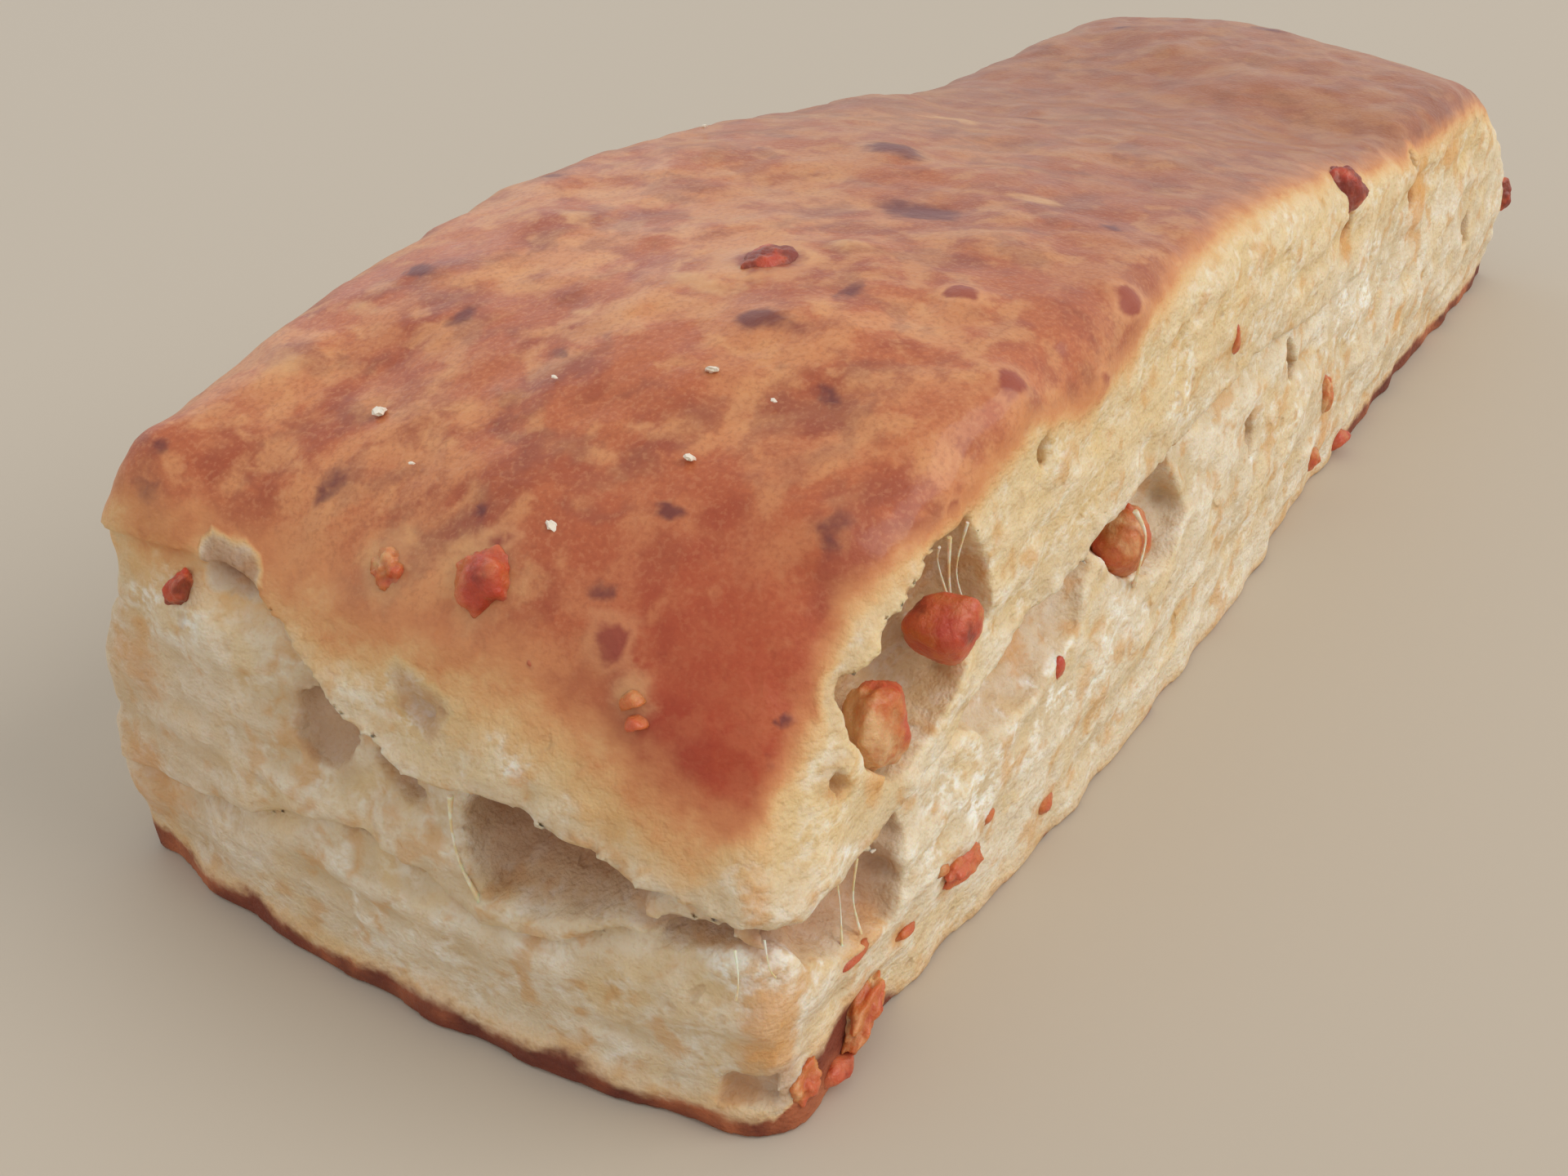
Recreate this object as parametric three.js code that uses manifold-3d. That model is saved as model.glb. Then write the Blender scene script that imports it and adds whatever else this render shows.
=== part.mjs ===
// A pork crackling pastry: one long, bar-shaped bun of layered dough, cut square and baked.
//
// Millimetres, +Z up. The loaf rests on z = 0 and runs along X: its near end is at -X and its
// tall hump lies nearest that end. Its origin is the middle of its footprint.
//
// The dough is one solid. Its skin is a net of points that starts on a plain box and is pushed
// in or out until each point lies on the loaf's own surface, which loafField() below describes.
// Burst air pockets are then cut from it, and pieces of crackling sit in beds of their own.

import * as THREE from 'three';
import { mergeVertices } from 'three/addons/utils/BufferGeometryUtils.js';
import Module from 'manifold-3d';

// ---- Driving dimensions (mm) ---------------------------------------------------------------

const LENGTH = 188;               // end wall to end wall, above the bottom crust
const WIDTH = 58;                 // side wall to side wall, above the bottom crust
const HUMP_HEIGHT = 45;           // crest of the tall hump
const TAIL_HEIGHT = 33;           // crest of the low far part
const BOTTOM_CRUST = 1.6;         // thickness of the crust rim that stands out at the bottom
const CENTRE = [0.66, -0.95];      // brings the middle of the footprint to the origin

const HALF_LENGTH = LENGTH / 2;
const HALF_WIDTH = WIDTH / 2;

const NET = { long: 56, wide: 18, high: 13 };   // quads of the skin along X, Y and Z
const BED_GAP = 0.55;                           // clearance between a crackling and its bed

const COLOUR = { dough: 0xd9bd8c, crackling: 0xa8492a };

// ---- Small helpers -------------------------------------------------------------------------

const clamp = (t, low, high) => Math.min(high, Math.max(low, t));

// A bump of height 1 at `middle` that fades over about `spread`.
const bump = (t, middle, spread) => Math.exp(-(((t - middle) / spread) ** 2));

// Rises smoothly from 0 at `from` to 1 at `to`.
const rise = (t, from, to) => {
  const s = clamp((t - from) / (to - from), 0, 1);
  return s * s * (3 - 2 * s);
};

// 1 in the middle of a wall and 0 at its ends: how far a straight wall bows out.
const bow = (t, half) => clamp(1 - (t / half) ** 2, 0, 1);

// The larger of two values, with the corner between them rounded over about `radius`.
const roundMax = (a, b, radius) => {
  const h = Math.max(radius - Math.abs(a - b), 0) / radius;
  return Math.max(a, b) + h * h * radius * 0.25;
};

// The height of a line that runs through [along, height] marks.
const follow = (marks, t) => {
  const last = marks.length - 1;
  const s = clamp(t, marks[0][0], marks[last][0]);
  const k = clamp(marks.findIndex((mark) => mark[0] > s), 1, last);
  const [t0, h0] = marks[s >= marks[last][0] ? last - 1 : k - 1];
  const [t1, h1] = marks[s >= marks[last][0] ? last : k];
  return h0 + (h1 - h0) * rise(s, t0, t1);
};

// A repeatable pseudo-random number from 0 to 1 for a lattice point.
const hash = (i, j, k) => {
  const s = Math.sin(i * 127.1 + j * 311.7 + k * 74.7) * 43758.5453;
  return s - Math.floor(s);
};

// Smooth noise from -1 to 1 that repeats no pattern; its grain is 1 unit.
const noise = (x, y, z) => {
  const [i, j, k] = [Math.floor(x), Math.floor(y), Math.floor(z)];
  const [u, v, w] = [x - i, y - j, z - k].map((s) => s * s * (3 - 2 * s));
  let sum = 0;
  for (const [di, wi] of [[0, 1 - u], [1, u]]) {
    for (const [dj, wj] of [[0, 1 - v], [1, v]]) {
      for (const [dk, wk] of [[0, 1 - w], [1, w]]) {
        sum += wi * wj * wk * hash(i + di, j + dj, k + dk);
      }
    }
  }
  return 2 * sum - 1;
};

// ---- The loaf's outside --------------------------------------------------------------------

// The fold between the lower and the upper layer of dough: its height along each wall.
const FOLD_NEAR_END = [[-28, 13], [-19, 12], [-2.5, 18.5], [6, 19.6], [14, 25], [28, 27]];
const FOLD_RIGHT = [[-94, 18], [-83, 14.5], [-68, 17.5], [-48, 24.7], [-28, 27.5], [94, 26]];
const FOLD_STEP = 1.1;            // how far the upper layer stands out over the lower one

// Broad swellings and dips of the top: [x, y, height, spread along X, spread along Y].
const SWELLINGS = [
  [-62, -8, 1.0, 14, 14], [-20, 14, 0.9, 16, 12], [-38, -2, -0.9, 9, 16],
  [4, -10, 0.8, 11, 11], [14, 10, -1.0, 7, 10], [48, -6, 0.9, 12, 10],
  [36, -16, -0.8, 8, 8], [72, 12, 0.9, 11, 10], [-80, 12, -0.7, 7, 9], [-93, 27, 3.0, 7, 7],
];

function topHeight(x, y) {
  const crest = TAIL_HEIGHT + (HUMP_HEIGHT - TAIL_HEIGHT) * bump(x, -46, 54)
    + 1.4 * bump(x, 64, 20) + 1.6 * bump(x, 8, 20);
  const across = y / HALF_WIDTH;
  let height = crest - (y < 0 ? 1.4 : 0.45) * across ** 2;
  height -= 4.0 * bump(x, -97, 12);                           // the near end rolls over
  height -= 4.0 * bump(x, 95, 10);                            // and so does the far end
  height -= 7.5 * bump(x, -97, 17) * rise(-y, 2, 32);         // the near right corner hangs
  height -= 6.0 * bump(x, 95, 18) * rise(-y, -8, 32);         // the far right one a little less
  for (const [cx, cy, size, alongX, alongY] of SWELLINGS) {
    height += size * bump(x, cx, alongX) * bump(y, cy, alongY);
  }
  return height;
}

// How far each wall stands from the middle at height z, the bottom crust's rim included.
function rightWall(x, z) {
  const rim = HALF_WIDTH - 0.1 + 2.7 * bump(x, -42, 34) + bump(x, -6, 14) + 1.4 * bump(x, -92, 9);
  const fold = FOLD_STEP * (rise(z - follow(FOLD_RIGHT, x), -1.2, 0.6) - 0.5) * rise(-x, -30, 30);
  const wall = HALF_WIDTH - 0.8 + 1.9 * bump(x, -44, 38) + 0.6 * bump(x, 0, 20)
    + 0.9 * bump(z, 12, 7) - 0.05 * Math.max(z - 28, 0) + fold;
  return rim + (wall - rim) * rise(z, BOTTOM_CRUST, 3.6 * BOTTOM_CRUST);
}

function leftWall(x, z) {
  return HALF_WIDTH + 0.8 + 2.8 * bump(z, 12, 12) + bump(x, -40, 50)
    + 0.8 * bump(x, -97, 14) * rise(z, 4, 20) - 0.6 * bump(z, 24, 4) + 0.8 * bump(z, 33, 5)
    - 1.5 * bump(x, -95, 12) * bump(z, 33, 6) - 0.04 * Math.max(z - 34, 0)
    - 1.6 * bump(x, 95, 30);
}

function nearWall(y, z) {
  const rim = HALF_LENGTH + 0.8 + 3.6 * bow(y, HALF_WIDTH) ** 0.8;
  const fold = FOLD_STEP * (rise(z - follow(FOLD_NEAR_END, y), -1.2, 0.6) - 0.5);
  const wall = HALF_LENGTH - 0.2 + 2.6 * bow(y, 30) + 0.9 * bump(z, 12, 7)
    - 0.12 * Math.max(z - 30, 0) * rise(-y, -24, 0) + fold;
  return rim + (wall - rim) * rise(z, BOTTOM_CRUST, 3.2 * BOTTOM_CRUST);
}

function farWall(y, z) {
  return HALF_LENGTH + 0.2 + 0.8 * bow(y, 30) - 0.06 * Math.max(z - 14, 0);
}

// Below 0 inside the loaf, above 0 outside it, in mm or a little less.
function loafField(x, y, z) {
  const side = roundMax(-y - rightWall(x, z), y - leftWall(x, z), 1);
  const end = roundMax(-x - nearWall(y, z), x - farWall(y, z), 1);
  const uprightEdge = 2.2 + 3 * rise(z, 20, 40) * rise(-y, -20, 20);
  const walls = roundMax(end, side, uprightEdge);
  const topEdge = 8 + 9 * bump(x, -97, 16) * rise(-y, -27, -5) + 3 * bump(x, 95, 14)
    - 3 * rise(-y, 5, 28);
  const crumple = 0.45 * noise(x / 7, y / 7, z / 5) * rise(z, 3, 8);
  return roundMax(walls, (z - topHeight(x, y)) * 0.97, topEdge) + crumple;
}

// ---- Skin of the dough ---------------------------------------------------------------------

// The point of the loaf's surface that lies out from `core` towards `target`.
function surfacePoint(core, target) {
  const at = (s) => core.clone().lerp(target, s);
  const outside = (p) => loafField(p.x, p.y, p.z) > 0;
  let [low, high] = [0, 3];
  for (let step = 0; step < 40; step += 1) {
    const middle = (low + high) / 2;
    if (outside(at(middle))) high = middle;
    else low = middle;
  }
  return at(high);
}

// One point of the net. (i, j, k) count along X, Y and Z on the outside of the box. Every
// point is sent out from the loaf's long core, so that the net stays even round the edges.
function netPoint(i, j, k) {
  const even = (n, count) => (2 * n) / count - 1;
  const [a, b, c] = [even(i, NET.long), even(j, NET.wide), even(k, NET.high)];
  const box = new THREE.Vector3(a * (HALF_LENGTH + 1), b * HALF_WIDTH, 20 * (c + 1));
  const core = new THREE.Vector3(a * (HALF_LENGTH - 10), b * (HALF_WIDTH - 12), 12 + 7 * c);
  if (k > 0) return surfacePoint(core, box.setZ(box.z + 2 * (c + 1)));
  const foot = surfacePoint(core.setZ(0), box.setZ(0));
  return foot.setZ(0);
}

// The bottom is flat, so it needs no net of its own: its outline is filled in one go.
function bottomOutline() {
  const outline = [];
  for (let i = 0; i < NET.long; i += 1) outline.push(netPoint(i, 0, 0));
  for (let j = 0; j < NET.wide; j += 1) outline.push(netPoint(NET.long, j, 0));
  for (let i = NET.long; i > 0; i -= 1) outline.push(netPoint(i, NET.wide, 0));
  for (let j = NET.wide; j > 0; j -= 1) outline.push(netPoint(0, j, 0));
  return outline;
}

// A wall or the top: a grid of quads whose corners come from `corner(u, v)`, seen from outside
// with u to the right and v up.
function addGrid(points, across, up, corner) {
  for (let u = 0; u < across; u += 1) {
    for (let v = 0; v < up; v += 1) {
      const [a, b] = [corner(u, v), corner(u + 1, v)];
      const [c, d] = [corner(u + 1, v + 1), corner(u, v + 1)];
      if (a.distanceToSquared(c) < b.distanceToSquared(d)) points.push(a, b, c, a, c, d);
      else points.push(a, b, d, b, c, d);
    }
  }
}

function skinGeometry() {
  const { long, wide, high } = NET;
  const points = [];
  addGrid(points, long, wide, (u, v) => netPoint(u, v, high));              // top
  addGrid(points, long, high, (u, v) => netPoint(u, 0, v));                 // right wall, -Y
  addGrid(points, long, high, (u, v) => netPoint(long - u, wide, v));       // left wall, +Y
  addGrid(points, wide, high, (u, v) => netPoint(0, wide - u, v));          // near end, -X
  addGrid(points, wide, high, (u, v) => netPoint(long, u, v));              // far end, +X
  const outline = bottomOutline();
  const flat = outline.map((p) => new THREE.Vector2(p.x, p.y));
  for (const [a, b, c] of THREE.ShapeUtils.triangulateShape(flat, [])) {
    points.push(outline[a], outline[c], outline[b]);
  }
  return new THREE.BufferGeometry().setFromPoints(points);
}

// ---- Lumps: cracklings, crumbs and the hollows of burst bubbles ----------------------------

// A rough ball stretched to `radii`, leaning by `lean` about the axis that points out of the
// wall it belongs to. `detail` sets its triangles: 0 has 20, 1 has 80 and 2 has 180.
function lumpGeometry({ at, radii, lean = 0, out = 'y', rough = 0.16, detail = 1 }, grow = 0) {
  const geometry = new THREE.IcosahedronGeometry(1, detail);
  const position = geometry.attributes.position;
  const axis = new THREE.Vector3(out === 'x' ? -1 : 0, out === 'y' ? -1 : 0, out === 'z' ? 1 : 0);
  const point = new THREE.Vector3();
  for (let n = 0; n < position.count; n += 1) {
    point.fromBufferAttribute(position, n);
    const swell = 1 + rough * noise(point.x * 1.7 + at[0], point.y * 1.7 + at[1], point.z * 1.7 + at[2]);
    point.set(point.x * (radii[0] + grow), point.y * (radii[1] + grow), point.z * (radii[2] + grow));
    point.multiplyScalar(swell).applyAxisAngle(axis, THREE.MathUtils.degToRad(lean));
    position.setXYZ(n, point.x + at[0], point.y + at[1], point.z + at[2]);
  }
  return geometry;
}

// Air pockets that burst through a wall. radii are along X, Y and Z before leaning.
const POCKETS = [
  // near end
  { at: [-95.4, -13.5, 19.2], radii: [5.0, 8.0, 2.5], lean: -20, out: 'x', detail: 2 },
  { at: [-95.6, 7.2, 21.2], radii: [2.6, 3.0, 1.7], lean: -25, out: 'x' },
  { at: [-94.8, -2.4, 25.8], radii: [2.0, 1.2, 1.0], out: 'x' },
  { at: [-94.4, 16.4, 29.6], radii: [3.0, 3.4, 1.1], lean: -6, out: 'x' },
  { at: [-96.6, 3.4, 14.4], radii: [2.2, 4.2, 0.9], lean: -12, out: 'x' },
  { at: [-95.6, -23.2, 15.0], radii: [2.8, 3.6, 1.3], lean: -8, out: 'x' },
  { at: [-95.2, -26.8, 4.2], radii: [2.2, 2.4, 1.6], lean: -10, out: 'x' },
  // right wall
  { at: [-77.4, -29.6, 28.6], radii: [9.4, 3.6, 3.7], lean: 46, detail: 2 },
  { at: [-63.6, -30.2, 19.4], radii: [9.0, 3.4, 3.2], lean: 27 },
  { at: [-38.4, -30.6, 22.6], radii: [6.6, 4.2, 3.8], lean: 35 },
  { at: [-86.4, -30.4, 13.6], radii: [6.4, 3.8, 2.6], lean: 12 },
  { at: [-79.6, -30.0, 15.4], radii: [1.8, 2.6, 1.7] },
  { at: [-58.7, -29.8, 36.2], radii: [1.0, 2.4, 1.6], lean: -10 },
  { at: [-85.6, -28.8, 23.7], radii: [1.0, 2.0, 1.2] },
  { at: [-11.5, -30.0, 18.8], radii: [1.5, 2.4, 2.4] },
  { at: [1.3, -29.4, 21.6], radii: [1.5, 2.4, 2.6] },
  { at: [43.6, -28.8, 27.4], radii: [1.6, 2.4, 3.6], lean: -18 },
  { at: [72.6, -29.2, 12.4], radii: [1.5, 2.2, 2.2] },
];

// Pieces of crackling large enough to pick out. Each lies in its own bed, a part of it showing.
const CRACKLINGS = [
  { at: [-71.8, -28.4, 28.6], radii: [2.5, 2.6, 2.9], lean: 20, detail: 2 },     // red, in a pocket
  { at: [-79.6, -28.0, 24.6], radii: [2.7, 2.2, 3.4], lean: 14, detail: 2 },     // amber, below it
  { at: [-41.6, -29.4, 20.8], radii: [3.5, 2.6, 3.5], lean: -16, detail: 2 },
  { at: [-70.6, -30.2, 7.8], radii: [3.2, 1.6, 2.0], lean: 24, detail: 2 },
  { at: [14.2, -29.0, 12.2], radii: [1.6, 1.9, 2.8], lean: 14 },
  { at: [13.2, -28.6, 5.2], radii: [2.2, 1.8, 2.0] },
  { at: [16.2, -27.0, 33.9], radii: [3.2, 2.7, 3.0], lean: -10, detail: 2 },     // under the crust's edge
  { at: [94.8, -28.2, 11.2], radii: [2.3, 2.2, 2.8], out: 'x' },                 // at the far corner
  { at: [-89.4, -4.4, 34.0], radii: [2.1, 2.1, 2.7], lean: -15, out: 'x', detail: 2 },
  { at: [-90.6, 3.0, 32.4], radii: [1.6, 1.7, 1.8], out: 'x' },
  { at: [-56.4, -4.9, 44.4], radii: [3.0, 2.3, 2.0], lean: -20, out: 'z', detail: 2 },
  { at: [-84.2, -29.8, 3.4], radii: [3.6, 1.6, 1.5], lean: 30 },                 // in the bottom rim
  { at: [-91.4, -29.2, 3.0], radii: [2.1, 1.6, 1.5], lean: 35 },
  { at: [-95.0, 20.4, 28.4], radii: [1.5, 1.0, 1.7], lean: -24, out: 'x' },
];

// Bits too small to be pieces of their own: they are bumps on the dough.
const BITS = [
  { at: [-42.6, -28.4, 41.0], radii: [1.7, 1.3, 1.4] },
  { at: [-53.4, -20.3, 44.0], radii: [1.7, 1.5, 0.8] },
  { at: [-61.4, -27.3, 41.0], radii: [1.9, 1.3, 1.2] },
  { at: [-50.0, -29.2, 38.2], radii: [1.2, 1.1, 1.7] },
  { at: [-89.7, -14.3, 31.6], radii: [1.5, 1.7, 1.6] },
  { at: [-90.6, -17.0, 29.4], radii: [1.1, 1.2, 1.0] },
  { at: [-90.2, -24.0, 26.6], radii: [0.9, 0.9, 1.0] },
  { at: [-18.5, -29.5, 30.6], radii: [1.1, 0.9, 1.7] },
  { at: [-56.2, -30.3, 3.8], radii: [1.4, 1.0, 1.3] },
  { at: [-54.8, -30.2, 16.1], radii: [1.2, 1.0, 1.5] },
  { at: [41.8, -28.7, 11.4], radii: [1.5, 1.0, 1.6] },
  { at: [53.3, -28.2, 18.9], radii: [1.4, 1.0, 2.2] },
  { at: [26.5, -28.8, 1.9], radii: [2.4, 1.5, 1.2] },
  { at: [-23.1, 3.1, 42.8], radii: [1.8, 1.4, 1.0] },
  { at: [-93.9, 30.2, 20.1], radii: [1.2, 1.6, 1.8] },
  { at: [-94.6, 29.8, 8.8], radii: [1.2, 1.6, 1.8] },
  { at: [-57.0, 26.0, 41.0], radii: [1.6, 1.4, 1.2] },
  { at: [12.0, 20.0, 36.0], radii: [1.7, 1.5, 1.1] },
  { at: [58.0, 8.0, 34.4], radii: [1.8, 1.5, 1.1] },
  { at: [-30.0, 31.6, 18.0], radii: [1.5, 1.1, 1.5] },
  { at: [22.0, 31.4, 24.0], radii: [1.6, 1.1, 1.4] },
  { at: [66.0, 30.0, 12.0], radii: [1.5, 1.1, 1.6] },
  { at: [94.6, 8.0, 14.0], radii: [1.1, 1.5, 1.4] },
  { at: [94.4, 18.0, 22.0], radii: [1.0, 1.4, 1.3] },
];

// ---- Joining and cutting -------------------------------------------------------------------

const wasm = await Module();
wasm.setup();

function solid(geometry) {
  geometry.deleteAttribute('normal');
  geometry.deleteAttribute('uv');
  const merged = mergeVertices(geometry, 1e-4);
  return new wasm.Manifold(new wasm.Mesh({
    numProp: 3,
    vertProperties: new Float32Array(merged.attributes.position.array),
    triVerts: new Uint32Array(merged.index.array),
  }));
}

function geometryOf(manifold) {
  const { vertProperties, triVerts, numProp } = manifold.getMesh();
  const geometry = new THREE.BufferGeometry();
  const corners = new THREE.InterleavedBuffer(vertProperties, numProp);
  geometry.setAttribute('position', new THREE.InterleavedBufferAttribute(corners, 3, 0));
  geometry.setIndex(new THREE.BufferAttribute(triVerts, 1));
  return geometry;
}

function makeDough() {
  let dough = solid(skinGeometry());
  for (const bit of BITS) dough = dough.add(solid(lumpGeometry(bit)));
  for (const pocket of POCKETS) dough = dough.subtract(solid(lumpGeometry(pocket)));
  for (const piece of CRACKLINGS) {
    const bed = lumpGeometry({ ...piece, detail: 1 }, BED_GAP);
    dough = dough.subtract(solid(bed));
  }
  return dough;
}

// ---- The pastry ----------------------------------------------------------------------------

function meshOf(name, manifold, material) {
  const mesh = new THREE.Mesh(geometryOf(manifold), material);
  mesh.name = name;
  return mesh;
}

const pastry = new THREE.Group();
pastry.position.set(CENTRE[0], CENTRE[1], 0);

const doughFinish = new THREE.MeshStandardMaterial({ color: COLOUR.dough, roughness: 0.7, metalness: 0 });
pastry.add(meshOf('dough', makeDough(), doughFinish));

CRACKLINGS.forEach((piece, n) => {
  const finish = new THREE.MeshStandardMaterial({ color: COLOUR.crackling, roughness: 0.35, metalness: 0 });
  const name = `crackling_${String(n + 1).padStart(2, '0')}`;
  pastry.add(meshOf(name, solid(lumpGeometry(piece)), finish));
});

export default pastry;
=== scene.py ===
"""A pork crackling pastry: a bar of layered dough with a browned crust, burst air pockets in
its cut walls, and pieces of pork crackling set in it.

The loaf's shape is worked out in millimetres, in the loaf's own frame, and brought to metres
when a mesh is made. Its near end is at -X, its right wall at -Y, and it rests on z = 0.
"""
import math

import bmesh
import bpy
import numpy as np
from mathutils import Matrix, Vector


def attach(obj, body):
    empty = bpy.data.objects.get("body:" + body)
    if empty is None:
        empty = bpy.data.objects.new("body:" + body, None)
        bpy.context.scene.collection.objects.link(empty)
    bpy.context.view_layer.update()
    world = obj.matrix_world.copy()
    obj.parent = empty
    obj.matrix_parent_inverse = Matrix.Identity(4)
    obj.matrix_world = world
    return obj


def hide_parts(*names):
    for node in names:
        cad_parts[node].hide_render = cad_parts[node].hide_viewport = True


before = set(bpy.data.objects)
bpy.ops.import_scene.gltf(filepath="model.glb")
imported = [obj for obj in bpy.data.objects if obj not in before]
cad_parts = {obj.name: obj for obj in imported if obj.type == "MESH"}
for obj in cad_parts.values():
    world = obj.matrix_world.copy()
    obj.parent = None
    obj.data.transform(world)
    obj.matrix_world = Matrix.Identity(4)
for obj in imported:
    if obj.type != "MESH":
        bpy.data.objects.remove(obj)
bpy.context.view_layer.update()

MM = 0.001

# ---- Driving dimensions (mm) ------------------------------------------------------------------

LENGTH = 188.0            # end wall to end wall, above the bottom crust
WIDTH = 58.0              # side wall to side wall, above the bottom crust
HUMP_HEIGHT = 45.0        # crest of the tall hump
TAIL_HEIGHT = 33.0        # crest of the low far part
BOTTOM_CRUST = 1.6        # thickness of the crust rim that stands out at the bottom
CENTRE = (0.66, -0.95)    # brings the middle of the footprint to the origin

HALF_LENGTH = LENGTH / 2
HALF_WIDTH = WIDTH / 2

FINEST_STEP = 0.36      # spacing of the carving grid at the near right corner
COARSEST_STEP = 0.72    # and at the far left one
DOUGH_FACES = 190_000                     # most triangles of the dough's mesh
CARVED_BOX = ((-101, 99), (-36, 37), (-1.2, 49))     # the space the carving grid fills
SKIN_DEPTH = 2.0                          # how near the smooth loaf's surface the grid is carved

# ---- Shape helpers ----------------------------------------------------------------------------


def bump(t, middle, spread):
    """A bump of height 1 at `middle` that fades over about `spread`."""
    return np.exp(-(((t - middle) / spread) ** 2))


def rise(t, start, end):
    """Goes smoothly from 0 at `start` to 1 at `end`."""
    s = np.clip((t - start) / (end - start), 0, 1)
    return s * s * (3 - 2 * s)


def bow(t, half):
    """1 in the middle of a wall and 0 at its ends: how far a straight wall bows out."""
    return np.clip(1 - (t / half) ** 2, 0, 1)


def round_max(a, b, radius):
    """The larger of two values, with the corner between them rounded."""
    h = np.maximum(radius - np.abs(a - b), 0) / radius
    return np.maximum(a, b) + h * h * radius * 0.25


def follow(marks, t):
    """The height of a line that runs smoothly through (along, height) marks."""
    along, height = np.array(marks, dtype=np.float32).T
    t = np.clip(t, along[0], along[-1])
    k = np.clip(np.searchsorted(along, t, side="right"), 1, len(along) - 1)
    share = rise(t, along[k - 1], along[k])
    return height[k - 1] + (height[k] - height[k - 1]) * share


def lattice(i, j, k):
    """A repeatable pseudo-random number from 0 to 1 for a lattice point."""
    n = (i * 73856093) ^ (j * 19349663) ^ (k * 83492791)
    n = (n ^ (n >> 13)) * 1274126177
    return ((n ^ (n >> 16)) & 0xFFFF).astype(np.float32) / 65535


def noise(x, y, z):
    """Smooth noise from -1 to 1 that repeats no pattern; its grain is 1 unit."""
    x, y, z = np.broadcast_arrays(x, y, z)
    cell = [np.floor(t).astype(np.int64) for t in (x, y, z)]
    share = [(t - c).astype(np.float32) for t, c in zip((x, y, z), cell)]
    share = [s * s * (3 - 2 * s) for s in share]
    total = 0.0
    for di in (0, 1):
        for dj in (0, 1):
            for dk in (0, 1):
                weight = 1.0
                for s, d in zip(share, (di, dj, dk)):
                    weight = weight * (s if d else 1 - s)
                total = total + weight * lattice(cell[0] + di, cell[1] + dj, cell[2] + dk)
    return 2 * total - 1


def rough(x, y, z, grain, octaves=3):
    """Noise with finer and weaker noise laid over it; `grain` is the coarsest, in mm."""
    total, size = 0.0, 1.0
    for n in range(octaves):
        # Each layer is turned, so that no grid shows.
        x, y, z = (0.8 * y + 0.6 * z,
                   -0.8 * x + 0.36 * y - 0.48 * z,
                   -0.6 * x - 0.48 * y + 0.64 * z)
        scale = 2.03 ** n / grain
        total = total + size * noise(x * scale + 17.3 * n, y * scale, z * scale - 9.1 * n)
        size *= 0.55
    return total


# ---- The loaf's outside -----------------------------------------------------------------------

# Where one layer of dough laps over the next, as (along, height) on each wall.
UPPER_FOLD_NEAR = [(-29, 17.0), (-21, 18.4), (-15.6, 20.2), (-8, 21.5), (-2.4, 20.9), (3.6, 23.1),
                   (8.2, 26.0), (11.4, 28.1), (15, 30.1), (22, 31.0), (30, 30.5)]
LOWER_FOLD_NEAR = [(-29, 15.0), (-25, 15.6), (-18.7, 14.3), (-12.2, 11.8), (-7.3, 11.2),
                   (-2.5, 12.8), (3.5, 14.5), (9.4, 13.5), (16.2, 11.6), (24, 9.9), (30, 9.5)]
FOLD_RIGHT = [(-95, 15.0), (-90, 16.4), (-84, 16.6), (-73, 19.1), (-67, 21.8), (-61.7, 23.3),
              (-48, 24.4), (-33, 25.5), (-14, 26.5), (12, 23.5), (40, 22.0), (66, 19.0), (95, 17.0)]
FOLD_LEFT = [(-95, 12.0), (-60, 16.0), (-20, 15.0), (20, 19.0), (60, 14.0), (95, 13.0)]

# A lobe of dough that bulges out low on the near left corner: how far, and the height of its top.
LOBE = 1.0
LOBE_TOP = 9.6

# Broad swellings and dips of the top: (x, y, height, spread along X, spread along Y).
SWELLINGS = [
    (-62, -8, 1.0, 14, 14), (-20, 14, 0.9, 16, 12), (-38, -2, -0.9, 9, 16),
    (4, -10, 0.8, 11, 11), (14, 10, -1.0, 7, 10), (48, -6, 0.9, 12, 10),
    (36, -16, -0.8, 8, 8), (72, 12, 0.9, 11, 10), (-80, 12, -0.7, 7, 9), (-93, 27, 3.0, 7, 7),
]


def top_height(x, y):
    """Height of the crust over (x, y)."""
    crest = (TAIL_HEIGHT + (HUMP_HEIGHT - TAIL_HEIGHT) * bump(x, -46, 54)
             + 1.4 * bump(x, 64, 20) + 1.6 * bump(x, 8, 20))
    height = crest - np.where(y < 0, 1.4, 0.45) * (y / HALF_WIDTH) ** 2
    height = height - 4.0 * bump(x, -97, 12) - 4.0 * bump(x, 95, 10)     # both ends roll over
    height = height - 7.5 * bump(x, -97, 17) * rise(-y, 2, 32)           # near right corner hangs
    height = height - 6.0 * bump(x, 95, 18) * rise(-y, -8, 32)           # far right one, less
    for middle_x, middle_y, size, along_x, along_y in SWELLINGS:
        height = height + size * bump(x, middle_x, along_x) * bump(y, middle_y, along_y)
    return height


def lap(z, line, depth, reach):
    """How far a layer draws back below the lip at `line`: most right under it."""
    below = line - z
    return -depth * rise(below, -0.2, 0.3) * np.exp(-np.maximum(below, 0) / reach)


def rim_waves(t):
    """How far the bottom rim is drawn in along a wall, so that its outline is uneven."""
    return 0.45 + 0.30 * np.sin(t / 3.1) * np.sin(t / 5.3 + 1) + 0.15 * np.sin(t / 1.3)


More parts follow.
